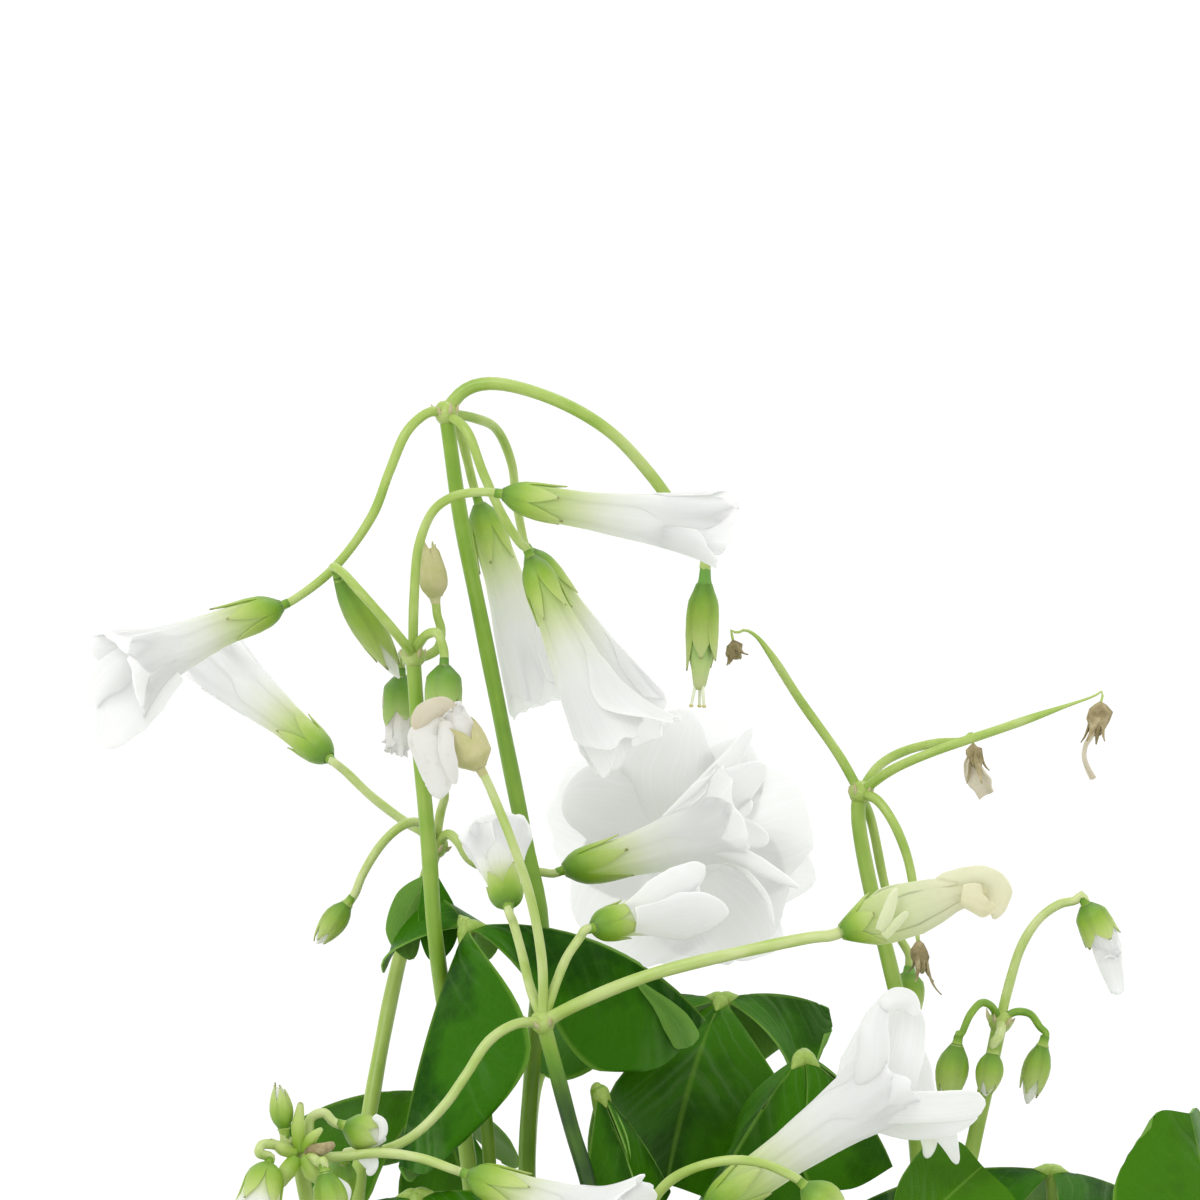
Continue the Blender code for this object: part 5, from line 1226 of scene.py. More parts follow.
    m = Nodes("straw")
    u, v = m.grow()
    n = m.noise(600, 4, 0.65)
    stripe = m.noise(1.0, 3, 0.6, m.join(m.math("MULTIPLY", u, 2.0), m.math("MULTIPLY", v, 24)))
    base = m.ramp(n, [(0.25, (0.46, 0.50, 0.17)), (0.55, (0.58, 0.56, 0.28)), (0.8, (0.66, 0.60, 0.36))])
    base = m.mix(m.math("MULTIPLY", stripe, 0.4), base, (0.38, 0.33, 0.15))
    m.set(Base_Color=base, Roughness=0.65, Specular_IOR_Level=0.3)
    m.bump(m.math("ADD", stripe, n), 0.5, 0.00016)

    m = Nodes("dry")
    n = m.noise(900, 5, 0.7)
    big = m.noise(330, 2, 0.5)
    base = m.ramp(m.math("ADD", m.math("MULTIPLY", n, 0.6), m.math("MULTIPLY", big, 0.4)),
                  [(0.30, (0.13, 0.10, 0.045)), (0.48, (0.33, 0.27, 0.14)), (0.62, (0.52, 0.45, 0.27)), (0.75, (0.62, 0.56, 0.38))])
    m.set(Base_Color=base, Roughness=0.85, Specular_IOR_Level=0.2)
    m.bump(n, 0.7, 0.0003)

    m = Nodes("bract")
    u, v = m.grow()
    n = m.noise(1200, 2)
    base = m.mix(m.ramp(u, [(0.15, 0.0), (0.8, 1.0)]), (0.42, 0.50, 0.17), m.ramp(n, [(0.3, (0.52, 0.36, 0.22)), (0.7, (0.60, 0.52, 0.36))]))
    m.set(Base_Color=base, Roughness=0.6)

    m = Nodes("filament")
    n = m.noise(1500, 2)
    m.set(Base_Color=m.ramp(n, [(0.3, (0.70, 0.76, 0.50)), (0.7, (0.80, 0.84, 0.66))]), Roughness=0.5)

    m = Nodes("anther")
    n = m.noise(2600, 3, 0.7)
    m.set(Base_Color=m.ramp(n, [(0.3, (0.50, 0.46, 0.16)), (0.7, (0.70, 0.66, 0.32))]), Roughness=0.8)
    m.bump(n, 0.5, 0.0001)

    m = Nodes("soil")
    n = m.noise(300, 6, 0.72)
    big = m.noise(60, 3, 0.6)
    fibre = m.noise(1.0, 3, 0.6, m.join(m.math("MULTIPLY", n, 9), 0.3))
    base = m.ramp(m.math("ADD", m.math("MULTIPLY", n, 0.7), m.math("MULTIPLY", big, 0.3)),
                  [(0.34, (0.011, 0.008, 0.005)), (0.5, (0.032, 0.022, 0.014)), (0.62, (0.075, 0.050, 0.030)), (0.72, (0.13, 0.09, 0.055))])
    base = m.mix(m.math("MULTIPLY", fibre, 0.12), base, (0.16, 0.11, 0.06))
    m.set(Base_Color=base, Roughness=0.95, Specular_IOR_Level=0.2)
    m.bump(m.math("ADD", n, m.math("MULTIPLY", m.noise(900, 4, 0.7), 0.5)), 0.9, 0.0008)

    m = Nodes("perlite")
    n = m.noise(1500, 4, 0.7)
    m.set(Base_Color=m.ramp(n, [(0.3, (0.60, 0.58, 0.53)), (0.6, (0.80, 0.79, 0.75))]), Roughness=0.9)
    m.bump(n, 0.8, 0.0003)

    m = Nodes("clay")
    place = m.place()
    big = m.noise(26, 4, 0.6)
    n = m.noise(420, 5, 0.7)
    tiny = m.noise(2400, 3, 0.7)
    sep = m.tree.nodes.new("ShaderNodeSeparateXYZ")
    m.put(sep.inputs[0], place)
    z = sep.outputs[2]
    rings = m.noise(1.0, 3, 0.6, m.join(m.math("MULTIPLY", z, 1500), m.math("MULTIPLY", big, 1.5)))
    base = m.ramp(m.math("ADD", m.math("MULTIPLY", big, 0.65), m.math("MULTIPLY", n, 0.35)),
                  [(0.32, (0.40, 0.155, 0.075)), (0.5, (0.50, 0.205, 0.105)), (0.68, (0.60, 0.275, 0.155))])
    base = m.mix(m.math("MULTIPLY", rings, 0.20), base, (0.42, 0.17, 0.085))
    bloom = m.math("MULTIPLY", m.ramp(m.noise(75, 5, 0.68), [(0.50, 0.0), (0.68, 1.0)]),
                   m.math("ADD", m.ramp(z, [(0.0, 0.55), (0.024, 0.0)]), m.ramp(m.math("SUBTRACT", z, 0.060), [(0.0, 0.0), (0.012, 0.42), (0.03, 0.30)])))
    base = m.mix(bloom, base, (0.74, 0.62, 0.52))
    grit = m.ramp(tiny, [(0.70, 0.0), (0.78, 1.0)])
    base = m.mix(m.math("MULTIPLY", grit, 0.35), base, (0.22, 0.09, 0.05))
    m.set(Base_Color=base, Roughness=m.ramp(n, [(0.2, 0.74), (0.8, 0.92)]), Specular_IOR_Level=0.3)
    m.bump(m.math("ADD", m.math("MULTIPLY", rings, 0.8), m.math("ADD", n, m.math("MULTIPLY", tiny, 0.4))), 0.45, 0.00025)


materials()


# --------------------------------------------------------------------- pot
def wall_inside(z):
    z0, r0 = FLOOR + 0.0015, POT_R_BASE - WALL + 0.001
    z1, r1 = POT_H - RIM_H - 0.004, POT_R_TOP - WALL
    z2, r2 = POT_H - 0.0016, RIM_R - WALL - 0.0012
    if z < z1:
        return r0 + (r1 - r0) * (z - z0) / (z1 - z0)
    return r1 + (r2 - r1) * (z - z1) / (z2 - z1)


def arc(cx, cz, r, a0, a1, n):
    return [(cx + r * math.cos(math.radians(a0 + (a1 - a0) * i / n)), cz + r * math.sin(math.radians(a0 + (a1 - a0) * i / n)))
            for i in range(n + 1)]


def pot():
    zr = POT_H - RIM_H
    line = [(0.004, 0.0)]
    line += arc(POT_R_BASE - 0.0016, 0.0016, 0.0016, -90, -10, 5)
    steps = 14
    for i in range(1, steps):
        t = i / steps
        line.append((POT_R_BASE + (POT_R_TOP - POT_R_BASE) * t, 0.0016 + (zr - 0.0024) * t))
    line += [(POT_R_TOP, zr - 0.0008), (POT_R_TOP + 0.0012, zr - 0.0002)]
    line += arc(RIM_R - 0.0009, zr + 0.0010, 0.0010, -90, 0, 4)
    for i in range(1, 6):
        t = i / 6
        line.append((RIM_R + 0.0001 + 0.0007 * t, zr + 0.0010 + (RIM_H - 0.0026) * t))
    line += arc(RIM_R - 0.0008, POT_H - 0.0016, 0.0016, 0, 90, 6)
    line += arc(RIM_R - WALL + 0.0004, POT_H - 0.0016, 0.0016, 90, 175, 6)
    line += [(wall_inside(z), z) for z in (0.084, 0.081, 0.078, 0.075, 0.072, 0.069, 0.067)]
    for i in range(1, 10):
        z = 0.067 + (FLOOR + 0.0015 - 0.067) * i / 9
        line.append((wall_inside(z), z))
    line += [(POT_R_BASE - WALL - 0.001, FLOOR), (0.004, FLOOR)]
    sides = 144
    shape = Shape()
    verts, faces, corners = [], [], []
    for r, z in line:
        for k in range(sides):
            a = 2 * math.pi * k / sides
            wob = 0.00012 * math.sin(2 * a + 40 * z) if 0.003 < z < POT_H - 0.003 and r > 0.03 else 0.0
            verts.append((min(r + wob, RIM_R + 0.0008) * math.cos(a), min(r + wob, RIM_R + 0.0008) * math.sin(a), z))
    n = len(line)
    for i in range(n - 1):
        for k in range(sides):
            k2 = (k + 1) % sides
            faces.append((i * sides + k, i * sides + k2, (i + 1) * sides + k2, (i + 1) * sides + k))
            corners.append([(i / n, k / sides), (i / n, (k + 1) / sides), ((i + 1) / n, (k + 1) / sides), ((i + 1) / n, k / sides)])
    faces += [tuple(range(sides))[::-1], tuple((n - 1) * sides + k for k in range(sides))]
    corners += [[(0.0, 0.0)] * sides, [(1.0, 0.0)] * sides]
    shape.add(verts, faces, corners, "clay")
    body = shape.make("clay_pot", "pot", "terracotta")
    drills = []
    for k in range(4):
        a = math.radians(45 + 90 * k)
        c = Vector((DRAIN_AT * math.cos(a), DRAIN_AT * math.sin(a), 0))
        v, fc = tube([c + Vector((0, 0, -0.004)), c + Vector((0, 0, FLOOR + 0.004))], [DRAIN_R * 0.985] * 2, 36)
        mesh = bpy.data.meshes.new("drill")
        mesh.from_pydata([tuple(x) for x in v], [], fc)
        mesh.materials.append(MATS["clay"])
        o = bpy.data.objects.new("drill", mesh)
        bpy.context.scene.collection.objects.link(o)
        m = body.modifiers.new("drill", "BOOLEAN")
        m.operation, m.solver, m.object = "DIFFERENCE", "EXACT", o
        drills.append(o)
    bpy.context.view_layer.update()
    mesh = bpy.data.meshes.new_from_object(body.evaluated_get(bpy.context.evaluated_depsgraph_get()))
    body.modifiers.clear()
    body.data = mesh
    mesh.shade_smooth()
    mesh.set_sharp_from_angle(angle=math.radians(40))
    for o in drills:
        bpy.data.objects.remove(o)


def soil_height(x, y):
    return 0.0011 * wander((x, y, 0), 150, 3) + 0.0006 * wander((x, y, 0), 420, 9)


def soil():
    shape = Shape()
    sides, rows = 120, 44
    R = wall_inside(SOIL_Z) - 0.0004
    verts, faces, corners = [(0, 0, SOIL_Z - 0.0004 + soil_height(0, 0))], [], []
    for i in range(1, rows + 1):
        r = R * i / rows
        for k in range(sides):
            a = 2 * math.pi * k / sides
            x, y = r * math.cos(a), r * math.sin(a)
            edge = soft((r - R * 0.93) / (R * 0.07))
            verts.append((x, y, SOIL_Z - 0.0004 + soil_height(x, y) - 0.0009 * float(edge)))
    for k in range(sides):
        faces.append((0, 1 + k, 1 + (k + 1) % sides))
        corners.append([(0, 0)] * 3)
    for i in range(rows - 1):
        for k in range(sides):
            k2 = (k + 1) % sides
            faces.append((1 + i * sides + k, 1 + (i + 1) * sides + k, 1 + (i + 1) * sides + k2, 1 + i * sides + k2))
            corners.append([(0, 0)] * 4)
    for r, z in ((wall_inside(0.067) - 0.0005, 0.067), (wall_inside(FLOOR + 0.0022) - 0.0006, FLOOR + 0.0022),
                 (wall_inside(FLOOR + 0.0015) - 0.0026, FLOOR + GAP)):
        for k in range(sides):
            a = 2 * math.pi * k / sides
            verts.append((r * math.cos(a), r * math.sin(a), z))
    top = 1 + (rows - 1) * sides
    for j in range(3):
        for k in range(sides):
            k2 = (k + 1) % sides
            a, b = top + j * sides, top + (j + 1) * sides
            faces.append((a + k, b + k, b + k2, a + k2))
            corners.append([(0, 0)] * 4)
    faces.append(tuple(top + 3 * sides + k for k in range(sides))[::-1])
    corners.append([(0, 0)] * sides)
    shape.add(verts, faces, corners, "soil")
    rng = random.Random(11)
    for n in range(430):
        white = n % 9 == 0
        r = R * math.sqrt(rng.random()) * 0.965
        a = rng.uniform(0, 2 * math.pi)
        size = rng.uniform(0.45, 1.25) if white else rng.choice((0.35, 0.5, 0.7, 0.9, 1.4)) * rng.uniform(0.8, 1.3)
        x, y = r * math.cos(a), r * math.sin(a)
        bm = bmesh.new()
        bmesh.ops.create_icosphere(bm, subdivisions=2, radius=size * MM)
        squash = Matrix.Diagonal((rng.uniform(0.7, 1.3), rng.uniform(0.7, 1.2), rng.uniform(0.45, 0.9), 1))
        turn = Matrix.Rotation(rng.uniform(0, 6), 4, "Z") @ Matrix.Rotation(rng.uniform(0, 6), 4, "X")
        c = Vector((x, y, SOIL_Z - 0.0004 + soil_height(x, y) + size * 0.22 * MM))
        pts = []
        for v in bm.verts:
            p = squash @ (turn @ v.co)
            p = p + Vector(wander3(v.co * 1.0, 900 / size, n)) * (0.24 * size * MM)
            pts.append(p + c)
        fs = [tuple(v.index for v in f.verts) for f in bm.faces]
        bm.free()
        shape.add(pts, fs, [[(0, 0)] * 3 for _ in fs], "perlite" if white else "soil")
    shape.make("soil_bed", "potting_soil", "soil")


# ------------------------------------------------------------------ umbels
# How each open flower differs from the plain one. turn: where its first petal
# stands round it (90 faces the front); petals: changes to single ones, where a
# one-item tuple is added to what the petal has.
LOOKS = {
    "flower_a1": {"turn": 70, "mouth": 5.2, "side": -0.5, "tube": 0.50, "lobe": 0.95,
                  "petals": {1: {"len": 0.95}, 4: {"wide": 5.6}}},
    "flower_a2": {"turn": 70, "mouth": 3.4, "long": 0.95, "girth": 1.04},
    "flower_a3": {"turn": 90, "mouth": 4.4, "tube": 0.46, "side": -0.5, "petals": {4: {"flare": (18,)}, 3: {"flare": (10,)}, 1: {"flare": (-12,), "len": 1.1}}},
    "flower_a4": {"turn": 60, "mouth": 3.8},
    "flower_b1": {"turn": 100, "mouth": 3.4, "tube": 0.55, "side": -0.5, "petals": {4: {"len": 1.10, "taper": 0.5}, 1: {"flare": (14,), "len": 0.92}}},
    "flower_c2": {"turn": 90, "mouth": 3.6, "girth": 0.9, "tube": 0.5, "sepal": 3.6},
    "flower_c3": {"turn": 80, "mouth": 2.3, "girth": 0.95, "sepal": 4.6, "lobe": 0.70, "tube": 0.45},
    "flower_d1": {"turn": 90, "mouth": 3.5, "tube": 0.55},
    "flower_d3": {"turn": 110, "mouth": 5.4, "tube": 0.50, "side": -0.9, "girth": 1.15, "lobe": 0.92},
    "flower_g1": {"turn": 40, "mouth": 4.6, "tube": 0.54, "girth": 1.2, "lobe": 0.80},
    "flower_i3": {"turn": 90},
    "flower_i5": {"turn": 90},
    "flower_k1": {"turn": 125, "wide": 9.8, "flare": 90, "lobe": 2.30, "tube": 0.66, "girth": 1.0, "power": 0.30, "overlap": 0.12},
}


# lobes that stand away from the rest of a flower: route, half widths, more
LOBES = {
    "flower_g1": [
        ([(860, 1104, -23), (878, 1072, -23.4), (889, 1040, -23.6), (895, 1014, -23.2), (897, 992, -22.4)], (30, 39, 36, 30, 22),
         {"cup": 0.34, "blunt": 0.24, "tilt": -14}),
        ([(856, 1096, -25.0), (868, 1060, -26.2), (872, 1030, -26.4), (880, 1004, -25.4)], (10, 17, 15, 9), {"cup": 0.9, "tilt": -26, "rough": 0.3}),
        ([(882, 1008, -25.6), (896, 1000, -25.8), (910, 1002, -25.4), (920, 1014, -24.8)], (8, 10, 9, 5), {"cup": 0.8, "rough": 0.3}),
        ([(912, 1046, -22.4), (921, 1072, -22.6), (926, 1098, -23)], (9, 11, 10), {"cup": 0.1}),
        ([(850, 1110, -24), (890, 1108, -25.2), (930, 1108, -25.6), (962, 1106, -25.2), (985, 1103, -24.6)], (12, 15, 15, 15, 13),
         {"cup": 0.30, "blunt": 0.12}),
        ([(872, 1122, -22.4), (905, 1128, -22.4), (942, 1127, -22.4), (978, 1117, -22.4)], (8, 11, 11, 4), {"cup": 0.1}),
        ([(940, 1122, -21.4), (949, 1142, -21.2), (957, 1164, -21)], (15, 9, 3), {"cup": 0.15}),
        ([(927, 1130, -20.6), (929, 1145, -20.4), (926, 1157, -20.2)], (8, 7, 3), {"us": (0.38, 0.5), "cup": 0.4})],
    "flower_d3": [
        ([(672, 826, 10.6), (703, 796, 11), (730, 762, 11.4), (752, 728, 11.8)], (14, 15, 10, 6), {"cup": 0.5, "tilt": 16}),
        ([(680, 826, 9.2), (708, 805, 9.0), (738, 785, 9.4), (766, 765, 10.2)], (20, 25, 20, 8), {"cup": 0.35, "blunt": 0.1}),
        ([(690, 832, 9.6), (716, 818, 9.6), (751, 800, 10)], (18, 17, 9), {"cup": 0.3}),
        ([(712, 836, 12), (738, 832, 12.6), (768, 842, 13)], (9, 15, 8), {"cup": 0.25, "tilt": 8}),
        ([(672, 848, 8.6), (712, 850, 7.8), (752, 864, 7.4), (798, 888, 7.2)], (13, 10, 8.5, 3.2), {"cup": 0.9, "tilt": 20}),
        ([(690, 856, 9.6), (735, 866, 9.6), (762, 893, 9.8), (774, 925, 10)], (5, 3.2, 3.4, 2.4), {"cup": 1.0, "tilt": 40})],
    "flower_k1": [
        ([(668, 842, 25), (630, 812, 23.6), (592, 802, 22.8), (560, 800, 22.4)], (26, 46, 44, 30), {"cup": 0.12, "blunt": 0.3, "rough": 0.4}),
        ([(672, 830, 24.4), (668, 782, 22.8), (676, 742, 22), (690, 712, 21.6)], (26, 50, 46, 26), {"cup": 0.12, "blunt": 0.3, "rough": 0.4}),
        ([(706, 826, 24.4), (726, 786, 23), (736, 756, 22.4), (742, 738, 22)], (26, 42, 34, 20), {"cup": 0.12, "blunt": 0.3, "rough": 0.4}),
        ([(700, 860, 25), (742, 866, 23.8), (780, 870, 23.2), (815, 876, 23)], (26, 44, 42, 26), {"cup": 0.12, "blunt": 0.3, "rough": 0.5}),
        ([(690, 872, 25), (722, 906, 24), (752, 928, 23.4), (782, 942, 23)], (26, 44, 38, 22), {"cup": 0.12, "blunt": 0.3, "rough": 0.5}),
        ([(676, 872, 25), (672, 908, 24), (678, 938, 23.4), (690, 962, 23)], (26, 46, 42, 24), {"cup": 0.12, "blunt": 0.3, "rough": 0.4})],
    "flower_c3": [
        ([(632, 914, -15.4), (656, 899, -13.8), (682, 882, -11.4), (705, 866, -9)], (12, 18, 18, 8), {"cup": 0.35, "blunt": 0.12}),
        ([(636, 920, -15.8), (668, 919, -14.4), (695, 914, -12.6), (716, 912, -11), (727, 912, -10)], (12, 17, 23, 20, 13),
         {"cup": 0.40, "blunt": 0.3}),
        ([(640, 920, -13.4), (670, 910, -10.4), (700, 900, -7.8)], (12, 18, 14), {"cup": 0.3})],
    "flower_a1": [
        ([(170, 664, -8.4), (142, 688, -9.8), (120, 716, -10.8), (104, 748, -11)], (20, 29, 27, 12), {"cup": 0.34}),
        ([(170, 654, -8), (140, 664, -9.4), (112, 682, -10.4), (88, 704, -10.6)], (18, 24, 24, 12), {"cup": 0.3}),
        ([(160, 648, -6.4), (130, 646, -7), (106, 648, -7.4), (92, 650, -7.6)], (14, 18, 17, 12), {"cup": 0.3}),
        ([(150, 644, -6), (122, 634, -6.2), (102, 630, -6.4), (86, 635, -6.6)], (8, 10, 10, 4), {"cup": 0.6, "tilt": 20})],
}


# bracts, small sepals and scraps of petal crowding the umbel at the lower left
SCRAPS = [
    ([(300, 1152, -29.4), (298, 1128, -29.8), (301, 1102, -29.6)], (5, 6, 2), "sepal", {"cup": 0.6, "us": (0.2, 1.0), "blunt": 0.05}),
    ([(304, 1152, -29.6), (312, 1138, -30.2), (322, 1128, -30.2)], (4, 5, 2), "sepal", {"cup": 0.5, "us": (0.2, 0.9), "seed": 2.0}),
    ([(306, 1154, -30), (320, 1150, -30.8), (334, 1145, -30.8)], (4, 6, 3), "dry", {"cup": 0.7, "rough": 0.5, "seed": 3.0}),
    ([(303, 1158, -30.2), (313, 1172, -31), (324, 1186, -31)], (6, 9, 2), "sepal", {"cup": 0.5, "us": (0.3, 1.0), "seed": 4.0}),
    ([(297, 1158, -30.2), (287, 1172, -31), (281, 1188, -31)], (6, 8, 2), "sepal", {"cup": 0.5, "us": (0.2, 1.0), "seed": 5.0}),
    ([(296, 1154, -29.8), (282, 1150, -30.6), (270, 1140, -30.6)], (4, 5, 2), "sepal", {"cup": 0.5, "us": (0.4, 1.0), "seed": 6.0}),
    ([(374, 1117, -28.2), (382, 1124, -28.6), (384, 1133, -28.6), (380, 1141, -28.2)], (3, 4, 4, 2), "petal", {"cup": 0.9, "rough": 0.6}),
    ([(362, 1156, -28.8), (371, 1164, -29), (370, 1174, -29)], (5, 6, 3), "petal", {"cup": 0.5, "rough": 0.4, "seed": 2.0}),
    ([(332, 1182, -30), (340, 1194, -30.4), (338, 1208, -30.4)], (7, 9, 6), "petal", {"cup": 0.5, "rough": 0.5, "seed": 3.0}),
]


def end_of(name):
    return HEADS[name][1]


def head_shape(name, base):
    kind, end, r_end = HEADS[name]
    end = at(*end)
    rng = random.Random(sum(ord(c) * (i + 1) for i, c in enumerate(name)))
    if kind == "open":
        return flower(name, base, end, r_end, rng, LOOKS.get(name, {}))
    shape = Shape()
    if name == "faded_flower_c4":
        faded(shape, base, end, rng)
    elif kind == "bud":
        white = {"bud_b2": 0.84, "bud_h4": 0.84, "bud_d2": 0.94, "bud_h2": 1.0, "bud_h3": 1.0, "bud_i1": 1.0}.get(name, 0.88)
        slim = {"bud_i1": 0.70, "bud_d2": 0.86, "bud_b2": 0.88, "bud_h2": 0.92, "bud_h3": 0.80, "bud_h4": 0.84}.get(name, 0.95)
        bud(shape, base, end, r_end * slim, rng, sepal=white, white=1, tone=0.1)
    elif kind == "pod":
        if name == "seed_pod_b3":
            pod(shape, base, end, r_end * 0.95, rng, styles=False, tone=1.0, sepal=1.04, cover="straw")
        elif name == "seed_pod_a5":
            pod(shape, base, end, r_end, rng, styles=True, sepal=0.80)
        else:
            pod(shape, base, end, r_end * 0.9, rng, styles=False, sepal=0.9)
    elif kind == "spent":
        if name == "spent_flower_c1":
            spent(shape, base, end, rng, straw=True, sepal=4.4, swell=1.75, strips=3, wide=1.8, crumple=0.3)
            lobe(shape, [(456, 716, -22.8), (440, 707, -23.4), (424, 714, -23.8), (416, 730, -24)], (7, 9, 10, 7), "wither_dry",
                 cup=0.6, rough=0.3, blunt=0.2)
            lobe(shape, [(436, 716, -23.2), (424, 734, -24), (430, 758, -24.4), (438, 778, -24.4), (440, 798, -24)], (8, 14, 16, 15, 9),
                 "wither", cup=0.45, rough=0.35, seed=2.0, blunt=0.12, us=(0.55, 1.0))
            lobe(shape, [(446, 722, -23.6), (446, 742, -24.8), (452, 764, -25), (455, 782, -24.8)], (6, 8, 8, 4), "wither", cup=0.6,
                 rough=0.3, seed=4.0, us=(0.6, 1.0))
        elif name == "flower_h1":
            spent(shape, base, at(1112, 958, -6), rng, calyx_tone=0.0, mat="petal", sepal=3.9, swell=1.5, strips=2, wide=1.6,
                  crumple=0.15, flare=0)
            lobe(shape, [(1098, 926, -6.6), (1106, 946, -6.8), (1113, 970, -6.9), (1120, 994, -6.6)], (11, 13, 10, 7), cup=0.6, rough=0.25,
                 blunt=0.06)
            lobe(shape, [(1106, 926, -5.4), (1112, 948, -5.2), (1116, 968, -5.2), (1119, 986, -5.4)], (9, 11, 8, 4), cup=-0.6, rough=0.25,
                 seed=3.0, tilt=20)
        else:
            spent(shape, base, end, rng, calyx_tone=0.55 if name.startswith("spent_flower_b") else 0.1)
    elif kind == "dry":
        dry(shape, base, end, r_end, rng, name)
    return shape


def faded(shape, base, end, rng):
    """A flower past its best: an open calyx, a limp inflated tube and a curled end."""
    base, end = vec(base), vec(end)
    L = np.linalg.norm(end - base) / MM
    d = unit(end - base)
    s, f = axes_of(d)
    st = [(0.0, 0.7), (0.10 * L, 1.5), (0.2 * L, 2.3), (0.32 * L, 2.7), (0.46 * L, 2.75), (0.6 * L, 2.2), (0.72 * L, 1.5), (0.84 * L, 1.25)]
    petals = [{"ang": 90 + 72 * i, "flare": 0, "roll": 0, "wide": 1.5, "len": 1, "curl": 0.0, "ruffle": 0.1, "waves": 1,
               "round": 0.1, "taper": 0.1} for i in range(5)]
    corolla(shape, base, d, s, f, st, 1.6, petals, rng, mats=("wither_cream",) * 3, crumple=0.45, nu=(30, 6), nv=13, overlap=0.15,
            scale=240)
    calyx(shape, base, d, s, f, 3.6, 1.2, lambda a: profile_r(st, a), rng, lift=0.04, spread=0.08, tone=0.0, sharp=1.7)
    receptacle(shape, base, d, s, f, 1.45, length=2.2)
    # two papery sepals folded back across the tube
    lobe(shape, [(880, 930, -26.2), (886, 914, -26.6), (892, 898, -26.2), (896, 890, -25.4)], (4, 6, 5, 2), "wither_cream", cup=0.4,
         rough=0.3, us=(0.45, 0.60))
    lobe(shape, [(884, 936, -26), (896, 924, -26.6), (906, 912, -26.2)], (4, 5, 3), "wither_cream", cup=0.4, rough=0.3, seed=2.0,
         us=(0.40, 0.55))
    # the limp end turns over on itself
    lobe(shape, [(930, 897, -22.6), (952, 884, -23), (974, 877, -23.2), (992, 882, -23.2), (1000, 898, -23), (994, 915, -22.6)],
         (10, 12, 11, 11, 11, 7), "wither_cream", cup=0.5, rough=0.45, us=(0.62, 0.90), scale=520, ruffle=0.25)
    lobe(shape, [(972, 884, -24.6), (974, 898, -25), (984, 908, -25), (996, 908, -24.4)], (8, 11, 10, 5), "wither_cream", cup=0.5,
         rough=0.45, seed=2.5, us=(0.85, 1.0), scale=560, ruffle=0.3)
    lobe(shape, [(950, 890, -21.4), (972, 882, -21), (990, 892, -20.8), (992, 908, -20.8)], (8, 10, 11, 8), "wither_cream", cup=-0.4,
         rough=0.4, seed=5.0, us=(0.7, 0.95), scale=520)


# stem tones at the foot and at the hub; C's near black-green is painted shade, for a stem that stands in shadow
TONES = {"A": (0.55, 0.46), "B": (0.42, 0.40), "C": (1.0, 0.95), "D": (0.22, 0.28), "E": (0.46, 0.34), "G": (0.3, 0.25),
         "H": (0.35, 0.32), "I": (0.22, 0.2), "K": (0.4, 0.4)}
SHRIVELLED = {"dry_head_e1": 0.32, "dry_head_e2": 0.3, "dry_head_e3": 0.28, "dry_head_e4": 0.5, "dry_head_d4": 0.5}


def grow_umbels():
    for letter, umbel in umbels().items():
        rng = random.Random(ord(letter))
        shape = Shape()
        low = umbel["stem"][0]
        path = smooth([low - Vector((0, 0, 0.0022)), low + Vector((0, 0, 0.006))] + umbel["stem"][1:], 90)
        hub = smooth([low, low + Vector((0, 0, 0.006))] + umbel["stem"][1:], 14)[-1]
        path[-1] = hub
        n = len(path)
        radii = [STALK_R * (1.2 - 0.28 * i / (n - 1)) * (1 + 0.025 * math.sin(i * 0.9 + n)) for i in range(n)]
        t0, t1 = TONES[letter]
        tones = [t0 + (t1 - t0) * (i / (n - 1)) for i in range(n)]
        # C's stem turns pale just below its hub: the top is painted as lit, the rest as painted shade
        if letter == "C":
            tones = [t - 0.6 * float(soft((i - n + 9) / 8)) for i, t in enumerate(tones)]
        rod(shape, path, radii, "stem", 16, tones)
        up = unit(vec(path[-1]) - vec(path[-4]))
        s, f = axes_of(up)
        egg(shape, vec(hub), up, s, f, 2.5, 1.22, "stem", 16, 9, 0.22, rough=0.18, seed=ord(letter))
        bracts(shape, vec(hub), up, rng)
        for name, pts in umbel["rays"].items():
            thick = PEDICEL_R * (1.32 if name in ("seed_pod_a5", "faded_flower_c4") else 0.80 if name in ("bud_h2", "bud_h4") else 1.0)
            route = [hub] + [at(*p) for p in pts[1:]]
            facing = (at(*HEADS[name][1]) - route[-1]).normalized()
            ray = smooth(route[:-1] + [route[-1] - facing * 0.0011, route[-1]], 46)
            m = len(ray)
            thin = SHRIVELLED.get(name, 1.0)
            radii = []
            for i in range(m):
                t = i / (m - 1)
                r = thick * (1.12 - 0.16 * t) * (1 + 0.02 * math.sin(i * 0.5 + len(name)))
                if thin < 1:
                    r *= 1 - (1 - thin) * float(soft((t - 0.62) / 0.3))
                radii.append(r * (1 + 0.25 * math.exp(-(t / 0.03) ** 2)))
            base_tone = 0.56 if name in ("bud_h2", "bud_h4") else 0.16 if letter in "CDHI" else 0.28
            tones = [base_tone - 0.10 * i / m + 0.04 * math.sin(i * 0.4) for i in range(m)]
            rod(shape, ray, radii, "stem", 12, tones)
            head = head_shape(name, ray[-1])
            if name in JOINED:
                shape.add(head.verts, head.faces, head.corners, head.mats, head.tones)
            else:
                slot = "petal" if HEADS[name][0] == "open" else "bud" if HEADS[name][0] in ("bud", "pod") else "spent"
                head.make("vis_" + name, name, slot)
        if letter == "I":
            for pts, widths, mat, more in SCRAPS:
                lobe(shape, pts, widths, mat, **more)
        shape.make("vis_flower_stem_" + letter.lower(), "flower_stem_" + letter.lower(), "stem")


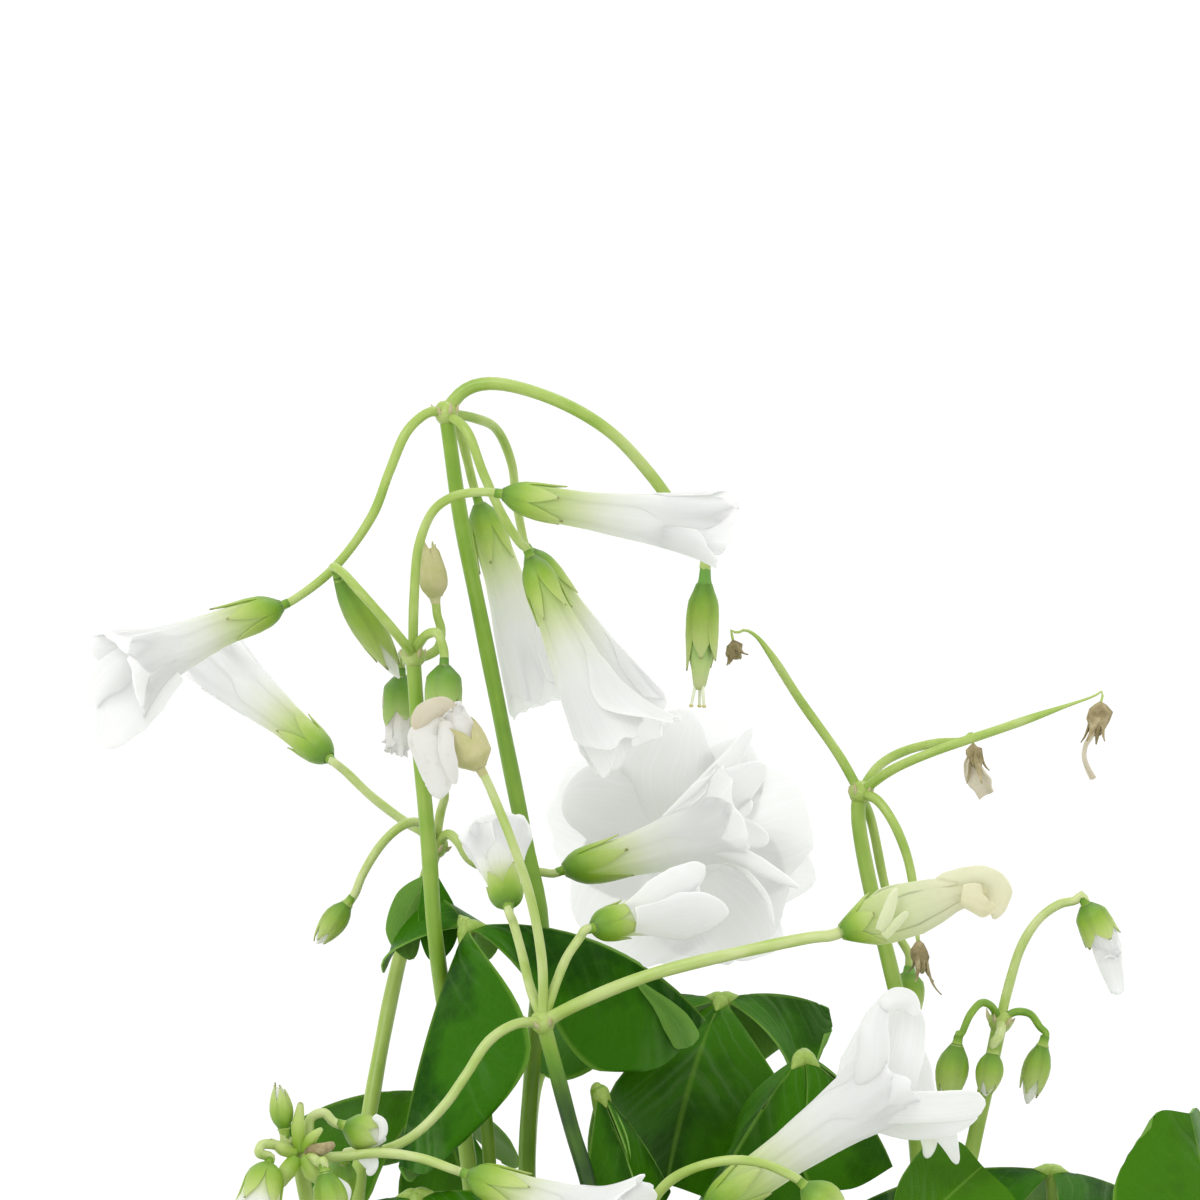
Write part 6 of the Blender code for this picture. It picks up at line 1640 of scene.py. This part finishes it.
# parts of a leaflet that turn over and show their other side
FOLDS = {
    "leaf_01": [
        ([(636, 980, -5.0), (660, 1004, -5.8), (680, 1029, -6.6), (690, 1046, -6.8)], (2, 7, 13, 14), "leaf_under",
         {"cup": 0.15, "blunt": 0.10, "us": (0.3, 1.0), "thick": 0.0003}),
        ([(432, 880, 4.4), (413, 900, 4.8), (404, 928, 5.2), (412, 959, 5.2)], (8, 17, 18, 10), "leaf_under",
         {"cup": 0.2, "blunt": 0.26, "us": (0.2, 1.0), "thick": 0.0003}),
        ([(431, 880, 3.2), (436, 908, 2.6), (438, 936, 2.2), (434, 962, 2.2)], (8, 18, 19, 11), "leaf_top",
         {"cup": 0.2, "blunt": 0.26, "us": (0.2, 1.0), "thick": 0.0003})],
}


def grow_leaves():
    young = {"leaf_08": 0.55, "leaf_03": 0.15, "leaf_07": 0.35, "leaf_06": 0.35, "leaf_04": 0.1, "leaf_02": 0.12}
    for i, leaf in enumerate(front_leaves()):
        shape = leaf_shape(leaf, young.get(leaf["name"], 0.0), i * 1.7)
        for pts, widths, mat, more in FOLDS.get(leaf["name"], ()):
            lobe(shape, pts, widths, mat, **more)
        shape.make("vis_" + leaf["name"], leaf["name"], "leaf")
    # each leaf of the canopy is grown again from the rule, by where its stalk stands
    feet = {}
    for name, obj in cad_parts.items():
        if name.startswith("leaf_") and int(name[5:]) > 9:
            spots = sorted({(round(v.co.z, 7), round(v.co.x, 7), round(v.co.y, 7)) for v in obj.data.vertices})[:5]
            feet[name] = (sum(x for _, x, _ in spots) / 5, sum(y for _, _, y in spots) / 5)
    found = {name: (1.0, None) for name in feet}
    for k in range(CANOPY + 12):
        for seed in range(600):
            p = grown_leaf(k, CANOPY, seed)[0][0]
            for name, (x, y) in feet.items():
                gap = math.hypot(p.x - x, p.y - y)
                if gap < found[name][0]:
                    found[name] = (gap, (k, seed))
    for name, (gap, which) in sorted(found.items()):
        if gap > 2e-6:
            raise SystemExit(f"{name} doesn't stand where the rule puts it: {gap}")
        route, leaflets, size = grown_leaf(which[0], CANOPY, which[1])
        leaf = leaf_spec(name, route, leaflets, size)
        rng = random.Random(which[1])
        leaf_shape(leaf, rng.uniform(0.0, 0.4), which[1] * 0.13).make("vis_" + name, name, "leaf")


pot()
soil()
grow_umbels()
grow_leaves()


# ------------------------------------------------------------ floor, light
def studio():
    mesh = bpy.data.meshes.new("floor")
    n = 96
    pts = [(1.35 * math.cos(2 * math.pi * k / n), 1.35 * math.sin(2 * math.pi * k / n), 0.0) for k in range(n)]
    mesh.from_pydata(pts, [], [tuple(range(n))])
    floor = bpy.data.objects.new("floor", mesh)
    bpy.context.scene.collection.objects.link(floor)
    m = Nodes("studio_floor")
    m.set(Base_Color=(0.90, 0.90, 0.90, 1), Roughness=0.9, Specular_IOR_Level=0.1)
    mesh.materials.append(m.mat)

    world = bpy.data.worlds.new("studio")
    bpy.context.scene.world = world
    world.use_nodes = True
    t = world.node_tree
    back = t.nodes["Background"]
    coord = t.nodes.new("ShaderNodeTexCoord")
    sep = t.nodes.new("ShaderNodeSeparateXYZ")
    ramp = t.nodes.new("ShaderNodeValToRGB")
    scale = t.nodes.new("ShaderNodeMath")
    scale.operation = "MULTIPLY_ADD"
    scale.inputs[1].default_value = 0.5
    scale.inputs[2].default_value = 0.5
    t.links.new(coord.outputs["Generated"], sep.inputs[0])
    t.links.new(sep.outputs[2], scale.inputs[0])
    t.links.new(scale.outputs[0], ramp.inputs[0])
    t.links.new(ramp.outputs[0], back.inputs[0])
    e = ramp.color_ramp.elements
    stops = [(0.0, 0.72), (0.38, 0.86), (0.43, 1.0), (0.75, 1.0), (1.0, 0.95)]
    while len(e) < len(stops):
        e.new(1.0)
    for x, (p, c) in zip(e, stops):
        x.position, x.color = p, (c, c, c, 1)
    back.inputs[1].default_value = 1.0

    def area(name, place, target, size, power, colour=(1, 1, 1)):
        light = bpy.data.lights.new(name, "AREA")
        light.shape, light.size, light.size_y, light.energy, light.color = "RECTANGLE", size, size * 0.7, power, colour
        o = bpy.data.objects.new(name, light)
        o.location = place
        o.rotation_euler = (Vector(target) - Vector(place)).to_track_quat("-Z", "Y").to_euler()
        bpy.context.scene.collection.objects.link(o)
        return o

    area("key", (-0.45, -0.65, 0.95), (0, 0, 0.18), 0.40, 2.4)
    area("top", (0.25, 0.35, 1.05), (0, 0, 0.18), 0.5, 1.2)

    cam = bpy.data.cameras.new("camera")
    cam.sensor_width, cam.lens = 36, 165
    cam.clip_start, cam.clip_end = 0.01, 20
    o = bpy.data.objects.new("camera", cam)
    o.location = (EYE_X, -EYE_D, EYE_Z)
    o.rotation_euler = (math.radians(90), 0, 0)
    bpy.context.scene.collection.objects.link(o)
    bpy.context.scene.camera = o
    bpy.context.scene.view_settings.view_transform = "Standard"
    bpy.context.scene.view_settings.look = "None"
    bpy.context.scene.view_settings.exposure = 0.1


studio()

bpy.context.view_layer.update()
